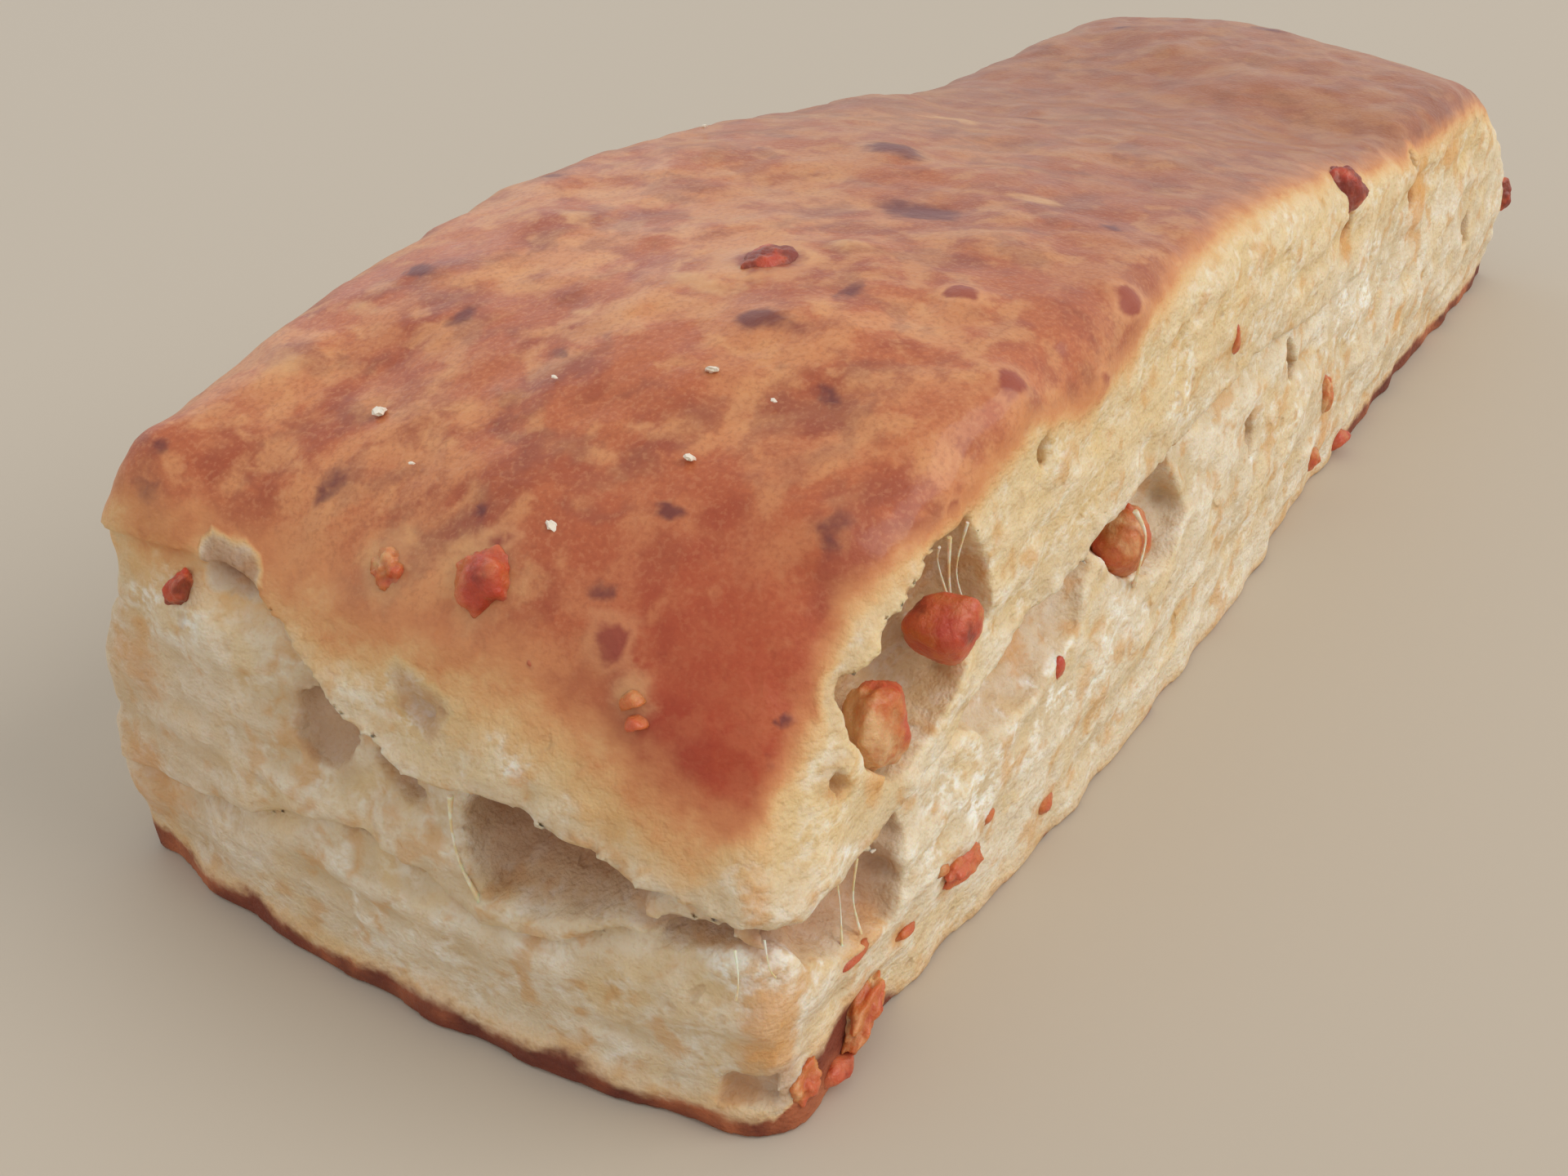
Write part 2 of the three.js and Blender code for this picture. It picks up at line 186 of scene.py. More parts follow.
def right_wall(x, z):
    """How far the right wall stands out from the middle; the other three are alike."""
    rim = (HALF_WIDTH - 0.1 + 2.7 * bump(x, -42, 34) + bump(x, -6, 14)
           + 1.4 * bump(x, -92, 9) - rim_waves(x))
    wall = (HALF_WIDTH - 0.4 + 1.9 * bump(x, -44, 38) + 0.6 * bump(x, 0, 20)
            + 0.9 * bump(z, 12, 7) - 0.05 * np.maximum(z - 28, 0)
            + lap(z, follow(FOLD_RIGHT, x), 1.3, 3.5) * rise(-x, -60, 20))
    return rim + (wall - rim) * rise(z, BOTTOM_CRUST, 3.2 * BOTTOM_CRUST)


def left_wall(x, z):
    return (HALF_WIDTH + 0.8 + 2.8 * bump(z, 12, 12) + bump(x, -40, 50)
            + 0.8 * bump(x, -97, 14) * rise(z, 4, 20) - 0.6 * bump(z, 24, 4)
            + 0.8 * bump(z, 33, 5) - 1.8 * bump(x, -95, 12) * bump(z, 34, 7)
            - 0.04 * np.maximum(z - 34, 0) - 1.6 * bump(x, 95, 30)
            + lap(z, follow(FOLD_LEFT, x), 0.7, 3.0) * rise(x, -90, -70)
            + LOBE * rise(LOBE_TOP - z, 0, 0.9) * bump(x, -97, 9)
            - 0.7 * LOBE * bump(z, LOBE_TOP + 1.6, 1.8) * bump(x, -97, 9))


def near_wall(y, z):
    rim = HALF_LENGTH + 0.8 + 3.6 * bow(y, HALF_WIDTH) ** 0.8 - rim_waves(y)
    wall = (HALF_LENGTH + 0.4 + 2.6 * bow(y, 30) + 0.9 * bump(z, 12, 7)
            - 0.12 * np.maximum(z - 30, 0) * rise(-y, -24, 0)
            + lap(z, follow(UPPER_FOLD_NEAR, y), 2.3 + bump(y, 8, 7) - 1.4 * rise(y, 14, 21), 6.5)
            + lap(z, follow(LOWER_FOLD_NEAR, y), 1.5, 1.8))
    return rim + (wall - rim) * rise(z, BOTTOM_CRUST, 2.4 * BOTTOM_CRUST)


def far_wall(y, z):
    return HALF_LENGTH + 0.2 + 0.8 * bow(y, 30) - 0.06 * np.maximum(z - 14, 0)


def plain_loaf(x, y, z):
    """Below 0 inside the smooth loaf and above 0 outside it, in mm or a little less."""
    side = round_max(-y - right_wall(x, z), y - left_wall(x, z), 1)
    end = round_max(-x - near_wall(y, z), x - far_wall(y, z), 1)
    upright_edge = 2.2 + 3 * rise(z, 20, 40) * rise(-y, -20, 20)
    walls = round_max(end, side, upright_edge)
    top_edge = (8 + 9 * bump(x, -97, 16) * rise(-y, -27, -5) + 3 * bump(x, 95, 14)
                - 3 * rise(-y, 5, 28))
    return round_max(walls, (z - top_height(x, y)) * 0.97, top_edge)


# ---- Camera -----------------------------------------------------------------------------------

CAMERA_AT = (-165.3, -76.5, 92.95)                 # mm, in the loaf's frame
CAMERA_HEADING = 32.9                              # degrees from +X towards +Y
CAMERA_DIP = 30.4                                  # degrees below the horizon
CAMERA_ROLL = -1.0
FOCAL_LENGTH = 41.34                               # mm, on a sensor 36 mm wide


def add_camera():
    heading, dip = math.radians(CAMERA_HEADING), math.radians(CAMERA_DIP)
    ahead = Vector((math.cos(heading) * math.cos(dip), math.sin(heading) * math.cos(dip),
                    -math.sin(dip)))
    right = Vector((math.sin(heading), -math.cos(heading), 0))
    up = right.cross(ahead)
    roll = math.radians(CAMERA_ROLL)
    right, up = (right * math.cos(roll) + up * math.sin(roll),
                 up * math.cos(roll) - right * math.sin(roll))
    data = bpy.data.cameras.new("camera")
    data.lens = FOCAL_LENGTH
    data.sensor_width = 36
    data.clip_start, data.clip_end = 0.01, 20
    camera = bpy.data.objects.new("camera", data)
    bpy.context.collection.objects.link(camera)
    at = Vector((CAMERA_AT[0] + CENTRE[0], CAMERA_AT[1] + CENTRE[1], CAMERA_AT[2])) * MM
    turn = Matrix((right, up, -ahead)).transposed().to_4x4()
    camera.matrix_world = Matrix.Translation(at) @ turn
    bpy.context.scene.camera = camera


add_camera()

# ---- Air pockets ------------------------------------------------------------------------------

# Each wall is measured by how far along it a point is, by its height, and by how deep below the
# smooth wall it lies.
WALLS = {
    "near": lambda x, y, z: (y, near_wall(y, z) + x),
    "right": lambda x, y, z: (x, right_wall(x, z) + y),
    "left": lambda x, y, z: (x, left_wall(x, z) - y),
    "far": lambda x, y, z: (y, far_wall(y, z) - x),
}

# Pockets that burst through a wall: wall, corners of the mouth as (along, height), depth, and
# how steeply the pocket climbs behind its upper lip.
POCKETS = [
    ("near", [(-5.0, 20.4), (-7.9, 21.4), (-15.6, 19.9), (-21.4, 18.0), (-19.0, 15.4),
              (-12.4, 13.2), (-8.0, 13.0), (-5.6, 15.8)], 5.6, 0.55),
    ("near", [(9.8, 22.4), (10.2, 19.6), (8.4, 18.0), (5.8, 18.4), (4.4, 20.4), (6.4, 22.8)],
     1.9, 0.3),
    ("near", [(3.2, 20.8), (2.2, 19.4), (-0.6, 17.6), (-1.4, 18.6), (1.0, 20.6)], 1.5, 0.2),
    ("near", [(-0.4, 27.1), (-3.6, 26.0), (-3.4, 24.7), (-1.0, 25.4)], 1.9, 0.2),
    ("near", [(17.8, 30.7), (14.2, 30.0), (14.8, 28.8), (17.4, 29.3)], 2.4, 0.3),
    ("near", [(8.0, 14.0), (3.4, 14.9), (-2.7, 13.6), (-2.6, 12.9), (3.4, 13.6)], 2.0, 0.3),
    ("near", [(-19.4, 15.4), (-25.6, 16.0), (-26.2, 14.4), (-20.6, 13.4)], 2.0, 0.5),
    ("near", [(-25.0, 4.6), (-28.9, 4.9), (-28.8, 2.6), (-25.4, 2.6)], 1.7, 0.3),
    ("right", [(-69.4, 36.0), (-73.9, 35.2), (-79.5, 32.6), (-84.2, 29.0), (-82.8, 23.4),
               (-79.1, 20.6), (-74.7, 21.0), (-70.6, 23.8), (-66.8, 26.9), (-66.8, 31.6)], 4.6, 0.1),
    ("right", [(-70.4, 18.9), (-66.7, 21.6), (-61.7, 23.3), (-53.1, 23.6), (-48.4, 22.2),
               (-51.5, 18.2), (-57.5, 16.4), (-64.1, 15.9)], 2.3, 0.3),
    ("right", [(-48.6, 24.6), (-41.9, 25.4), (-33.0, 25.4), (-28.9, 18.6), (-34.2, 14.8),
               (-44.5, 18.6)], 3.4, 0.1),
    ("right", [(-93.2, 15.6), (-89.2, 16.8), (-84.3, 16.2), (-80.0, 14.8), (-78.3, 11.4),
               (-80.6, 9.0), (-85.4, 10.0), (-91.0, 12.6)], 3.6, 0.4),
    ("right", [(-81.2, 16.3), (-79.0, 17.0), (-77.4, 15.0), (-79.6, 13.6)], 1.7, 0.2),
    ("right", [(-58.0, 38.0), (-59.6, 37.4), (-59.4, 34.8), (-58.0, 35.0)], 2.0, 0.1),
    ("right", [(-86.6, 24.4), (-85.4, 24.9), (-84.8, 23.4), (-86.0, 22.8)], 1.4, 0.1),
    ("right", [(-12.9, 20.2), (-11.4, 20.8), (-10.0, 17.6), (-11.6, 16.4)], 2.2, 0.1),
    ("right", [(-0.2, 23.4), (1.4, 24.0), (2.8, 20.0), (1.2, 19.0)], 2.4, 0.1),
    ("right", [(14.6, 32.4), (17.2, 32.8), (18.4, 29.4), (15.4, 28.4)], 2.0, 0.1),
    ("right", [(42.2, 30.6), (43.8, 31.0), (45.2, 25.0), (43.4, 23.8)], 2.2, 0.1),
    ("right", [(71.2, 14.4), (73.6, 14.6), (74.2, 11.0), (72.0, 10.4)], 2.0, 0.1),
    ("left", [(54, 25), (61, 26.5), (66, 24), (64, 21), (56, 21.5)], 3.2, 0.3),
    ("left", [(14, 20.5), (24, 22), (30, 18.5), (24, 16), (16, 16.5)], 3.6, 0.3),
    ("left", [(-22, 27), (-16, 29), (-13, 26), (-17, 23.5)], 2.6, 0.2),
    ("left", [(-57, 17), (-51, 19.5), (-46, 17), (-50, 14.5)], 2.8, 0.3),
    ("left", [(82, 13), (86, 13.5), (86, 11), (83, 10.5)], 2.0, 0.2),
    ("left", [(-82, 23), (-79, 23.5), (-78, 21), (-81, 20.5)], 1.8, 0.2),
    ("far", [(-14, 20), (-8, 22), (-2, 19.5), (-6, 16.5), (-12, 17)], 3.4, 0.3),
    ("far", [(11, 13), (15, 14), (18, 12), (14, 10.5)], 2.2, 0.2),
    ("far", [(-22, 11), (-19, 11.5), (-18, 9), (-21, 8.8)], 1.8, 0.2),
]


def inset(corners, t, z):
    """How far (t, z) lies inside an outline, below 0 when outside it, and the most that can be."""
    corners = np.array(corners, dtype=np.float32)
    following = np.roll(corners, -1, axis=0)
    nearest = np.full(np.shape(t), np.inf, np.float32)
    within = np.zeros(np.shape(t), bool)
    for (t0, z0), (t1, z1) in zip(corners, following):
        edge = (t1 - t0, z1 - z0)
        along = (t - t0) * edge[0] + (z - z0) * edge[1]
        share = np.clip(along / (edge[0] ** 2 + edge[1] ** 2), 0, 1)
        away = (t - t0 - share * edge[0]) ** 2 + (z - z0 - share * edge[1]) ** 2
        nearest = np.minimum(nearest, away)
        spans = (z0 > z) != (z1 > z)
        within ^= spans & (t < t0 + edge[0] * (z - z0) / (edge[1] if edge[1] else 1))
    area = 0.5 * abs(np.sum(corners[:, 0] * following[:, 1] - following[:, 0] * corners[:, 1]))
    round_it = np.sum(np.hypot(*(following - corners).T))
    return np.where(within, 1, -1) * np.sqrt(nearest), 1.6 * area / round_it


def pocket_reach(pocket, x, y, z):
    """How far a point is outside a pocket in mm, below 0 in it, and how deep under the wall."""
    wall, corners, deep, climb = pocket
    t, depth = WALLS[wall](x, y, z)
    behind = np.maximum(depth, 0)
    inside, half = inset(corners, t, z - climb * behind)
    ragged = 0.35 * noise(t / 1.9, z / 1.9, corners[0][0]) + 0.15 * noise(t / 0.8, z / 0.8, 3.0)
    inside = inside + ragged
    across = np.maximum(1 - inside / half, 0)
    under = np.maximum(depth / deep, -0.5)
    return (np.cbrt(across ** 3 + np.abs(under) ** 3) - 1) * min(half, deep), depth


def pocket_box(pocket):
    """Lowest and highest corner, in mm, of the part of the loaf that a pocket can reach."""
    wall, corners, deep, climb = pocket
    along, height = np.array(corners, dtype=float).T
    margin = 1.5
    low, high = along.min() - margin, along.max() + margin
    bottom, top = height.min() - margin, height.max() + climb * deep + margin
    out, back = 5.0, deep + margin
    spans = {
        "near": ((-HALF_LENGTH - out, -HALF_LENGTH + back), (low, high)),
        "far": ((HALF_LENGTH - back, HALF_LENGTH + out), (low, high)),
        "right": ((low, high), (-HALF_WIDTH - out, -HALF_WIDTH + back)),
        "left": ((low, high), (HALF_WIDTH - back, HALF_WIDTH + out)),
    }[wall]
    return np.array([*spans, (bottom, top)]).T


# ---- Carving the dough ------------------------------------------------------------------------

# The crust's lower edge along each wall, as (along, height).
CRUST_EDGE_RIGHT = [(-95, 23.0), (-92, 23.6), (-89, 26), (-86, 29), (-83.9, 32), (-80, 34.8),
                    (-76, 35.9), (-70.6, 36.4), (-60.3, 38.6), (-51.4, 36.9), (-44, 38.0),
                    (-38.7, 40), (-32, 41), (-19, 41), (-3.6, 39.4), (9, 37.3), (29.6, 32.8),
                    (43.5, 30.4), (68, 29.2), (95, 23)]
CRUST_EDGE_NEAR = [(-29, 22), (-25.5, 22.4), (-22.5, 23.2), (-19.4, 25.0), (-16.8, 26.8),
                   (-12.3, 29.0), (-7.8, 30.2), (-2.6, 30.4), (8.7, 30.6), (22.5, 30.8),
                   (30, 30.6)]
CRUST_EDGE_LEFT = [(-95, 31), (-70, 36), (-45, 38), (-20, 37), (5, 34), (30, 29), (60, 29),
                   (95, 25)]
CRUST_EDGE_FAR = [(-30, 24), (-10, 27), (10, 26), (30, 25)]

# The top of the brown rim at the foot of each wall, as (along, height).
RIM_NEAR = [(-30, 2.4), (-25, 1.6), (-20, 1.4), (-13, 2.4), (-8, 1.7), (-2, 2.6), (4, 2.2),
            (10, 1.6), (16, 2.4), (23, 1.8), (30, 2.6)]
RIM_RIGHT = [(-96, 2.4), (-92.5, 3.4), (-89, 4.6), (-85, 5.2), (-82, 4.2), (-80, 1.8), (-77, 0.2),
              (26, 0.2), (33, 1.8), (60, 2.2), (95, 2.0)]
RIM_LEFT = [(-96, 2.4), (-40, 1.8), (20, 2.2), (95, 2.0)]

# Each wall's crust edge, and how sharply the crust ends there.
CRUST_EDGES = [("near", CRUST_EDGE_NEAR, 0.55), ("right", CRUST_EDGE_RIGHT, 1.5),
               ("left", CRUST_EDGE_LEFT, 0.8), ("far", CRUST_EDGE_FAR, 0.7)]


def baked(x, y, z):
    """How far above the crust's lower edge a point is, in mm; the pale walls are below 0."""
    above = np.full(np.shape(x + y + z), 99.0)
    for wall, edge, sharpness in CRUST_EDGES:
        along, depth = WALLS[wall](x, y, z)
        over = (z - follow(edge, along)) * sharpness + 0.6 * np.maximum(depth, 0)
        above = np.minimum(above, over)
    return above


def rim_top(x, y, z):
    """How far below the top of the brown rim a point is, in mm."""
    right, left = WALLS["right"](x, y, z)[1], WALLS["left"](x, y, z)[1]
    near = WALLS["near"](x, y, z)[1]
    side = np.where(right < left, follow(RIM_RIGHT, x), follow(RIM_LEFT, x))
    height = np.where(near < np.minimum(right, left), follow(RIM_NEAR, y), side)
    return height - z


# Where crackling under the crust lifts it: (x, y, z), radius, how far it rises.
LIFTS = [
    ((-89.4, -4.4, 34.2), 4.0, 0.4), ((-90.6, 3.0, 32.6), 3.0, 0.1), ((-56.4, -4.9, 44.8), 4.6, 0.2),
    ((-89.7, -14.5, 32.0), 2.3, 0.5), ((-90.8, -17.1, 29.8), 1.8, 0.4),
    ((-42.5, -28.6, 41.6), 2.4, 0.6), ((-53.4, -20.3, 44.3), 2.0, 0.5),
    ((-61.4, -27.7, 41.6), 2.6, 0.6), ((-50.0, -29.6, 38.2), 1.8, 0.5),
    ((-78.7, -24.3, 37.5), 2.2, 0.4), ((-64.8, -10.1, 44.3), 2.4, 0.4),
    ((-67.1, 20.2, 43.0), 2.4, 0.4), ((-23.1, 3.1, 43.4), 3.4, 0.5), ((-93.9, 30.2, 20.1), 3.0, 0.6),
    ((-94.6, 30.0, 8.6), 3.0, 0.6), ((-57.0, 26.0, 42.0), 2.4, 0.5), ((12.0, 20.0, 37.0), 2.6, 0.5),
    ((58.0, 8.0, 35.4), 2.8, 0.5), ((-49.7, -8.3, 45.0), 1.8, 0.4), ((-81.2, 21.7, 39.6), 2.4, 0.4),
    ((-54.7, 15.1, 44.5), 2.4, 0.4),
]


def lifted(x, y, z):
    total = np.zeros(np.shape(x), np.float32)
    for (at_x, at_y, at_z), radius, height in LIFTS:
        near = np.abs(x - at_x) < 3 * radius
        away = (x[near] - at_x) ** 2 + (y[near] - at_y) ** 2 + (z[near] - at_z) ** 2
        total[near] = np.maximum(total[near], height * np.exp(-away / radius ** 2))
    return total


def crumb_relief(x, y, z):
    """How far the pale walls stand out here: layers, puffs and the fine crumb, in mm."""
    strata = 0.34 * noise(x / 9, y / 9, z / 2.0) + 0.14 * noise(x / 4, y / 4, z / 1.0)
    puffs = 0.26 * rough(x, y, z * 1.2, 3.6, 2)
    return strata + puffs + 0.15 * rough(x, y, z, 1.5, 2)


def crust_relief(x, y, z):
    """How far the crust stands out here: soft lumps and fine wrinkles, in mm."""
    return 0.26 * rough(x, y, z, 6.0, 2) + 0.09 * rough(x, y, z, 1.9, 2)


def carve(x, y, z, smooth):
    """The dough's field near its surface: crumples, strata and crumb on the smooth loaf."""
    above = baked(x, y, z)
    wall = rise(-above, -1.0, 3.0) * rise(z, 2.0, 4.5)
    field = smooth - lifted(x, y, z) + 0.30 * noise(x / 8, y / 8, z / 5) * rise(z, 3, 8)
    return field - crumb_relief(x, y, z) * wall - crust_relief(x, y, z) * rise(above, 0, 3)


def grid_axis(low, high, start_step, end_step):
    """Positions from low to high whose spacing goes from one step to another."""
    count = int(round((high - low) * 2 / (start_step + end_step)))
    steps = np.linspace(start_step, end_step, count)
    run = np.concatenate(([0], np.cumsum(steps)))
    return (low + run * (high - low) / steps.sum()).astype(np.float32)


def carve_grid():
    """The field on a grid round the loaf: (values, positions along the three axes)."""
    last_steps = (COARSEST_STEP, (FINEST_STEP + COARSEST_STEP) / 2, 1.4 * FINEST_STEP)
    axes = [grid_axis(*span, FINEST_STEP, last) for span, last in zip(CARVED_BOX, last_steps)]
    x, y, z = np.meshgrid(*axes, indexing="ij", sparse=True)
    field = np.asarray(plain_loaf(x, y, z), dtype=np.float32)
    for pocket in POCKETS:
        low, high = pocket_box(pocket)
        block = tuple(slice(*np.searchsorted(axis, (a, b))) for axis, a, b in zip(axes, low, high))
        near = np.meshgrid(*(axis[part] for axis, part in zip(axes, block)), indexing="ij")
        field[block] = np.maximum(field[block], -pocket_reach(pocket, *near)[0])
    skin = (np.abs(field) < SKIN_DEPTH) & (z > -0.6)
    i, j, k = np.nonzero(skin)
    field[skin] = carve(axes[0][i], axes[1][j], axes[2][k], field[skin])
    return np.maximum(field, -z).astype(np.float32), axes


def skin_of(field, axes):
    """Points and quads of the field's zero surface: one point in each cell it crosses."""
    inside = field < 0
    cells = np.zeros([n - 1 for n in field.shape], np.int8)
    corners = [(a, b, c) for a in (0, 1) for b in (0, 1) for c in (0, 1)]
    for corner in corners:
        cells += inside[tuple(slice(d, n - 1 + d) for d, n in zip(corner, field.shape))]
    crossed = np.argwhere((cells > 0) & (cells < 8))
    number = np.full(cells.shape, -1, np.int32)
    number[tuple(crossed.T)] = np.arange(len(crossed))
    total = np.zeros((len(crossed), 3))
    count = np.zeros(len(crossed))
    value = [field[tuple((crossed + corner).T)] for corner in corners]
    for a, start in enumerate(corners):
        for b, end in enumerate(corners):
            if b <= a or sum(abs(p - q) for p, q in zip(start, end)) != 1:
                continue
            crosses = (value[a] < 0) != (value[b] < 0)
            share = np.where(crosses, value[a] / np.where(crosses, value[a] - value[b], 1), 0)
            place = np.array(start) + share[:, None] * (np.array(end) - np.array(start))
            total += np.where(crosses[:, None], place, 0)
            count += crosses
    share = total / count[:, None]
    points = np.empty_like(share)
    for axis in range(3):
        at = axes[axis][crossed[:, axis]]
        points[:, axis] = at + share[:, axis] * (axes[axis][crossed[:, axis] + 1] - at)
    quads = []
    for axis in range(3):
        one, other = (axis + 1) % 3, (axis + 2) % 3
        first, second = [slice(None)] * 3, [slice(None)] * 3
        first[axis], second[axis] = slice(0, -1), slice(1, None)
        edges = np.argwhere(inside[tuple(first)] != inside[tuple(second)])
        edges = edges[(edges[:, one] > 0) & (edges[:, other] > 0)]
        around = []
        for back_one, back_other in ((1, 1), (0, 1), (0, 0), (1, 0)):
            cell = edges.copy()
            cell[:, one] -= back_one
            cell[:, other] -= back_other
            around.append(number[tuple(cell.T)])
        quad = np.stack(around, axis=1)
        leaves = inside[tuple(edges.T)]
        quad[~leaves] = quad[~leaves][:, ::-1]
        quads.append(quad)
    return points, np.concatenate(quads)


def mesh_object(name, points, faces):
    """A mesh object from points in the loaf's frame, in mm; all faces have as many corners."""
    mesh = bpy.data.meshes.new(name)
    place = (np.asarray(points, float) + (CENTRE[0], CENTRE[1], 0)) * MM
    faces = np.asarray(faces, np.int32)
    corners = faces.shape[1]
    mesh.vertices.add(len(place))
    mesh.vertices.foreach_set("co", place.astype(np.float32).ravel())
    mesh.loops.add(faces.size)
    mesh.loops.foreach_set("vertex_index", faces.ravel())
    mesh.polygons.add(len(faces))
    mesh.polygons.foreach_set("loop_start", np.arange(0, faces.size, corners, dtype=np.int32))
    mesh.polygons.foreach_set("use_smooth", np.ones(len(faces), bool))
    mesh.update(calc_edges=True)
    mesh.validate()
    piece = bpy.data.objects.new(name, mesh)
    bpy.context.collection.objects.link(piece)
    return piece


def applied(piece, modifier):
    """Works a modifier into the piece's own mesh and takes it off."""
    bpy.context.view_layer.update()
    shaped = bpy.data.meshes.new_from_object(
        piece.evaluated_get(bpy.context.evaluated_depsgraph_get()))
    piece.modifiers.remove(modifier)
    old = piece.data
    piece.data = shaped
    bpy.data.meshes.remove(old)
    shaped.name = piece.name


def points_of(piece):
    """The piece's points in the loaf's frame, in mm."""
    flat = np.empty(len(piece.data.vertices) * 3, np.float32)
    piece.data.vertices.foreach_get("co", flat)
    return flat.reshape(-1, 3) / MM - np.array((CENTRE[0], CENTRE[1], 0), np.float32)


def set_value(piece, name, values):
    """Stores one number per point for the material to read."""
    layer = piece.data.attributes.new(name, "FLOAT", "POINT")
    layer.data.foreach_set("value", np.asarray(values, np.float32).ravel())


def make_dough():
    points, quads = skin_of(*carve_grid())
    dough = mesh_object("dough_loaf", points, quads)
    thin = dough.modifiers.new("thin", "DECIMATE")
    thin.ratio = min(1.0, DOUGH_FACES / (2 * len(quads)))
    applied(dough, thin)
    return dough


dough = make_dough()

# ---- What the dough's material reads ----------------------------------------------------------

# Dark spots of burnt filling under the crust: (x, y, z), half length along X, half width along Y.
DARK_SPOTS = [
    ((-88.4, 10.7, 35.8), 1.8, 1.1), ((-87.0, -1.7, 37.0), 1.0, 0.7),
    ((-78.7, -24.3, 37.5), 1.9, 1.2), ((-69.7, -18.2, 42.3), 0.7, 1.2),
    ((-64.8, -10.1, 44.3), 1.4, 2.0), ((-58.1, -13.3, 44.8), 1.9, 0.8),
    ((-71.4, 12.3, 42.3), 1.2, 0.8), ((-67.1, 20.2, 43.0), 1.3, 2.0),
    ((-23.1, 3.1, 43.4), 2.4, 3.6), ((-82.2, -14.3, 38.2), 0.7, 1.3),
    ((-87.8, -12.6, 34.6), 1.0, 1.1), ((-36.6, -7.7, 43.7), 2.8, 4.2),
    ((-74.0, 2.0, 43.0), 0.8, 1.3),
    ((-30.0, -22.0, 43.0), 1.6, 1.0), ((8.0, 4.0, 39.4), 1.6, 2.6), ((24.0, -10.0, 37.6), 1.3, 2.0),
    ((46.0, 8.0, 36.0), 1.6, 2.8), ((60.0, -16.0, 35.0), 1.4, 2.2), ((78.0, 2.0, 34.0), 1.5, 2.4),
    ((-12.0, 20.0, 43.0), 1.2, 2.0), ((30.0, 18.0, 36.6), 1.3, 2.2), ((66.0, 18.0, 34.6), 1.2, 1.8),
    ((-46.0, 24.0, 44.0), 1.0, 1.6), ((-93.2, 24.0, 34.2), 1.2, 1.3), ((-91.2, 24.3, 37.1), 0.8, 1.1),
    ((-94.8, 23.7, 31.6), 0.6, 0.9), ((-87.1, -26.2, 28.9), 0.6, 0.4), ((-89.6, -25.9, 26.8), 0.7, 0.5),
    ((-91.9, -25.3, 24.6), 0.6, 0.5),
]
# Red crackling that shows through the crust, in a ring of paler crust.
RED_SPOTS = [
    ((-89.9, -14.7, 32.2), 1.8, 1.2),
    ((-92.2, -9.6, 30.2), 0.6, 0.5), ((-87.6, -4.6, 35.6), 1.3, 1.5), ((-90.6, 3.0, 33.4), 1.0, 1.0),
    ((-56.4, -4.9, 45.2), 2.6, 3.0), ((-42.5, -28.6, 41.6), 1.7, 1.4), ((-53.4, -20.3, 44.3), 1.1, 1.3),
    ((-61.4, -27.7, 41.6), 1.8, 1.2), ((-50.0, -29.6, 38.2), 1.3, 1.2),
    ((-70.9, -29.0, 37.0), 0.6, 0.5), ((-93.8, 28.6, 29.8), 0.7, 0.7),
]
# Pale blisters where the crust lifted.
BLISTERS = [
    ((-49.7, -8.3, 45.0), 1.5, 1.3), ((-81.2, 21.7, 39.6), 1.6, 2.3), ((-54.7, 15.1, 44.5), 1.2, 2.8),
    ((-62.0, -2.0, 44.6), 1.2, 3.4), ((-73.0, 22.0, 41.4), 1.0, 2.4), ((-28.0, -14.0, 43.4), 1.3, 2.4),
    ((-68.0, 4.0, 43.8), 1.0, 1.8), ((0.0, 8.0, 40.4), 1.6, 2.8), ((38.0, -4.0, 36.4), 1.6, 2.6),
    ((-89.6, -4.5, 34.4), 3.6, 3.4), ((-90.8, 3.0, 33.4), 2.6, 2.5), ((-56.4, -4.9, 44.8), 3.8, 4.4),
    ((-91.8, -17.6, 30.4), 2.0, 2.0),
]
# Orange browned patches on the pale walls: wall, (along, height), half length, half height.
AMBER_PATCHES = [
    ("near", (27.6, 20.4), 2.6, 4.2), ("near", (28.6, 8.6), 3.2, 5.0),
    ("near", (20.6, 30.0), 2.6, 0.8), ("near", (-13.6, 17.4), 3.6, 1.6),
    ("near", (-18.4, 16.6), 1.6, 0.9), ("near", (-10.8, 23.8), 0.9, 0.8),
    ("near", (-17.4, 23.0), 1.0, 0.9), ("near", (-4.4, 30.0), 1.0, 0.8),
    ("near", (-26.6, 3.4), 1.8, 1.0), ("right", (-84.4, 9.7), 3.8, 0.8),
    ("right", (-58.4, 19.4), 1.9, 2.0), ("right", (-56.2, 3.8), 1.4, 1.2),
    ("right", (-54.8, 16.1), 1.0, 0.8), ("right", (-18.5, 30.9), 1.6, 1.0),
    ("right", (41.8, 11.4), 1.4, 1.4), ("right", (-81.0, 21.6), 2.0, 1.4),
    ("right", (47.0, 24.6), 3.0, 5.4), ("right", (60.0, 27.0), 4.0, 2.6),
    ("right", (15.6, 8.6), 2.6, 5.4), ("right", (18.0, 28.0), 1.6, 2.6),
    ("right", (-78.6, 6.4), 2.4, 1.0), ("right", (-70.0, 30.6), 1.4, 2.0),
    ("left", (-60.0, 24.0), 9.0, 4.0), ("left", (-20.0, 20.0), 12.0, 3.0),
    ("left", (30.0, 22.0), 9.0, 3.0), ("left", (70.0, 16.0), 10.0, 4.0),
    ("far", (0.0, 20.0), 10.0, 3.0), ("far", (-16.0, 14.0), 5.0, 2.0),
]
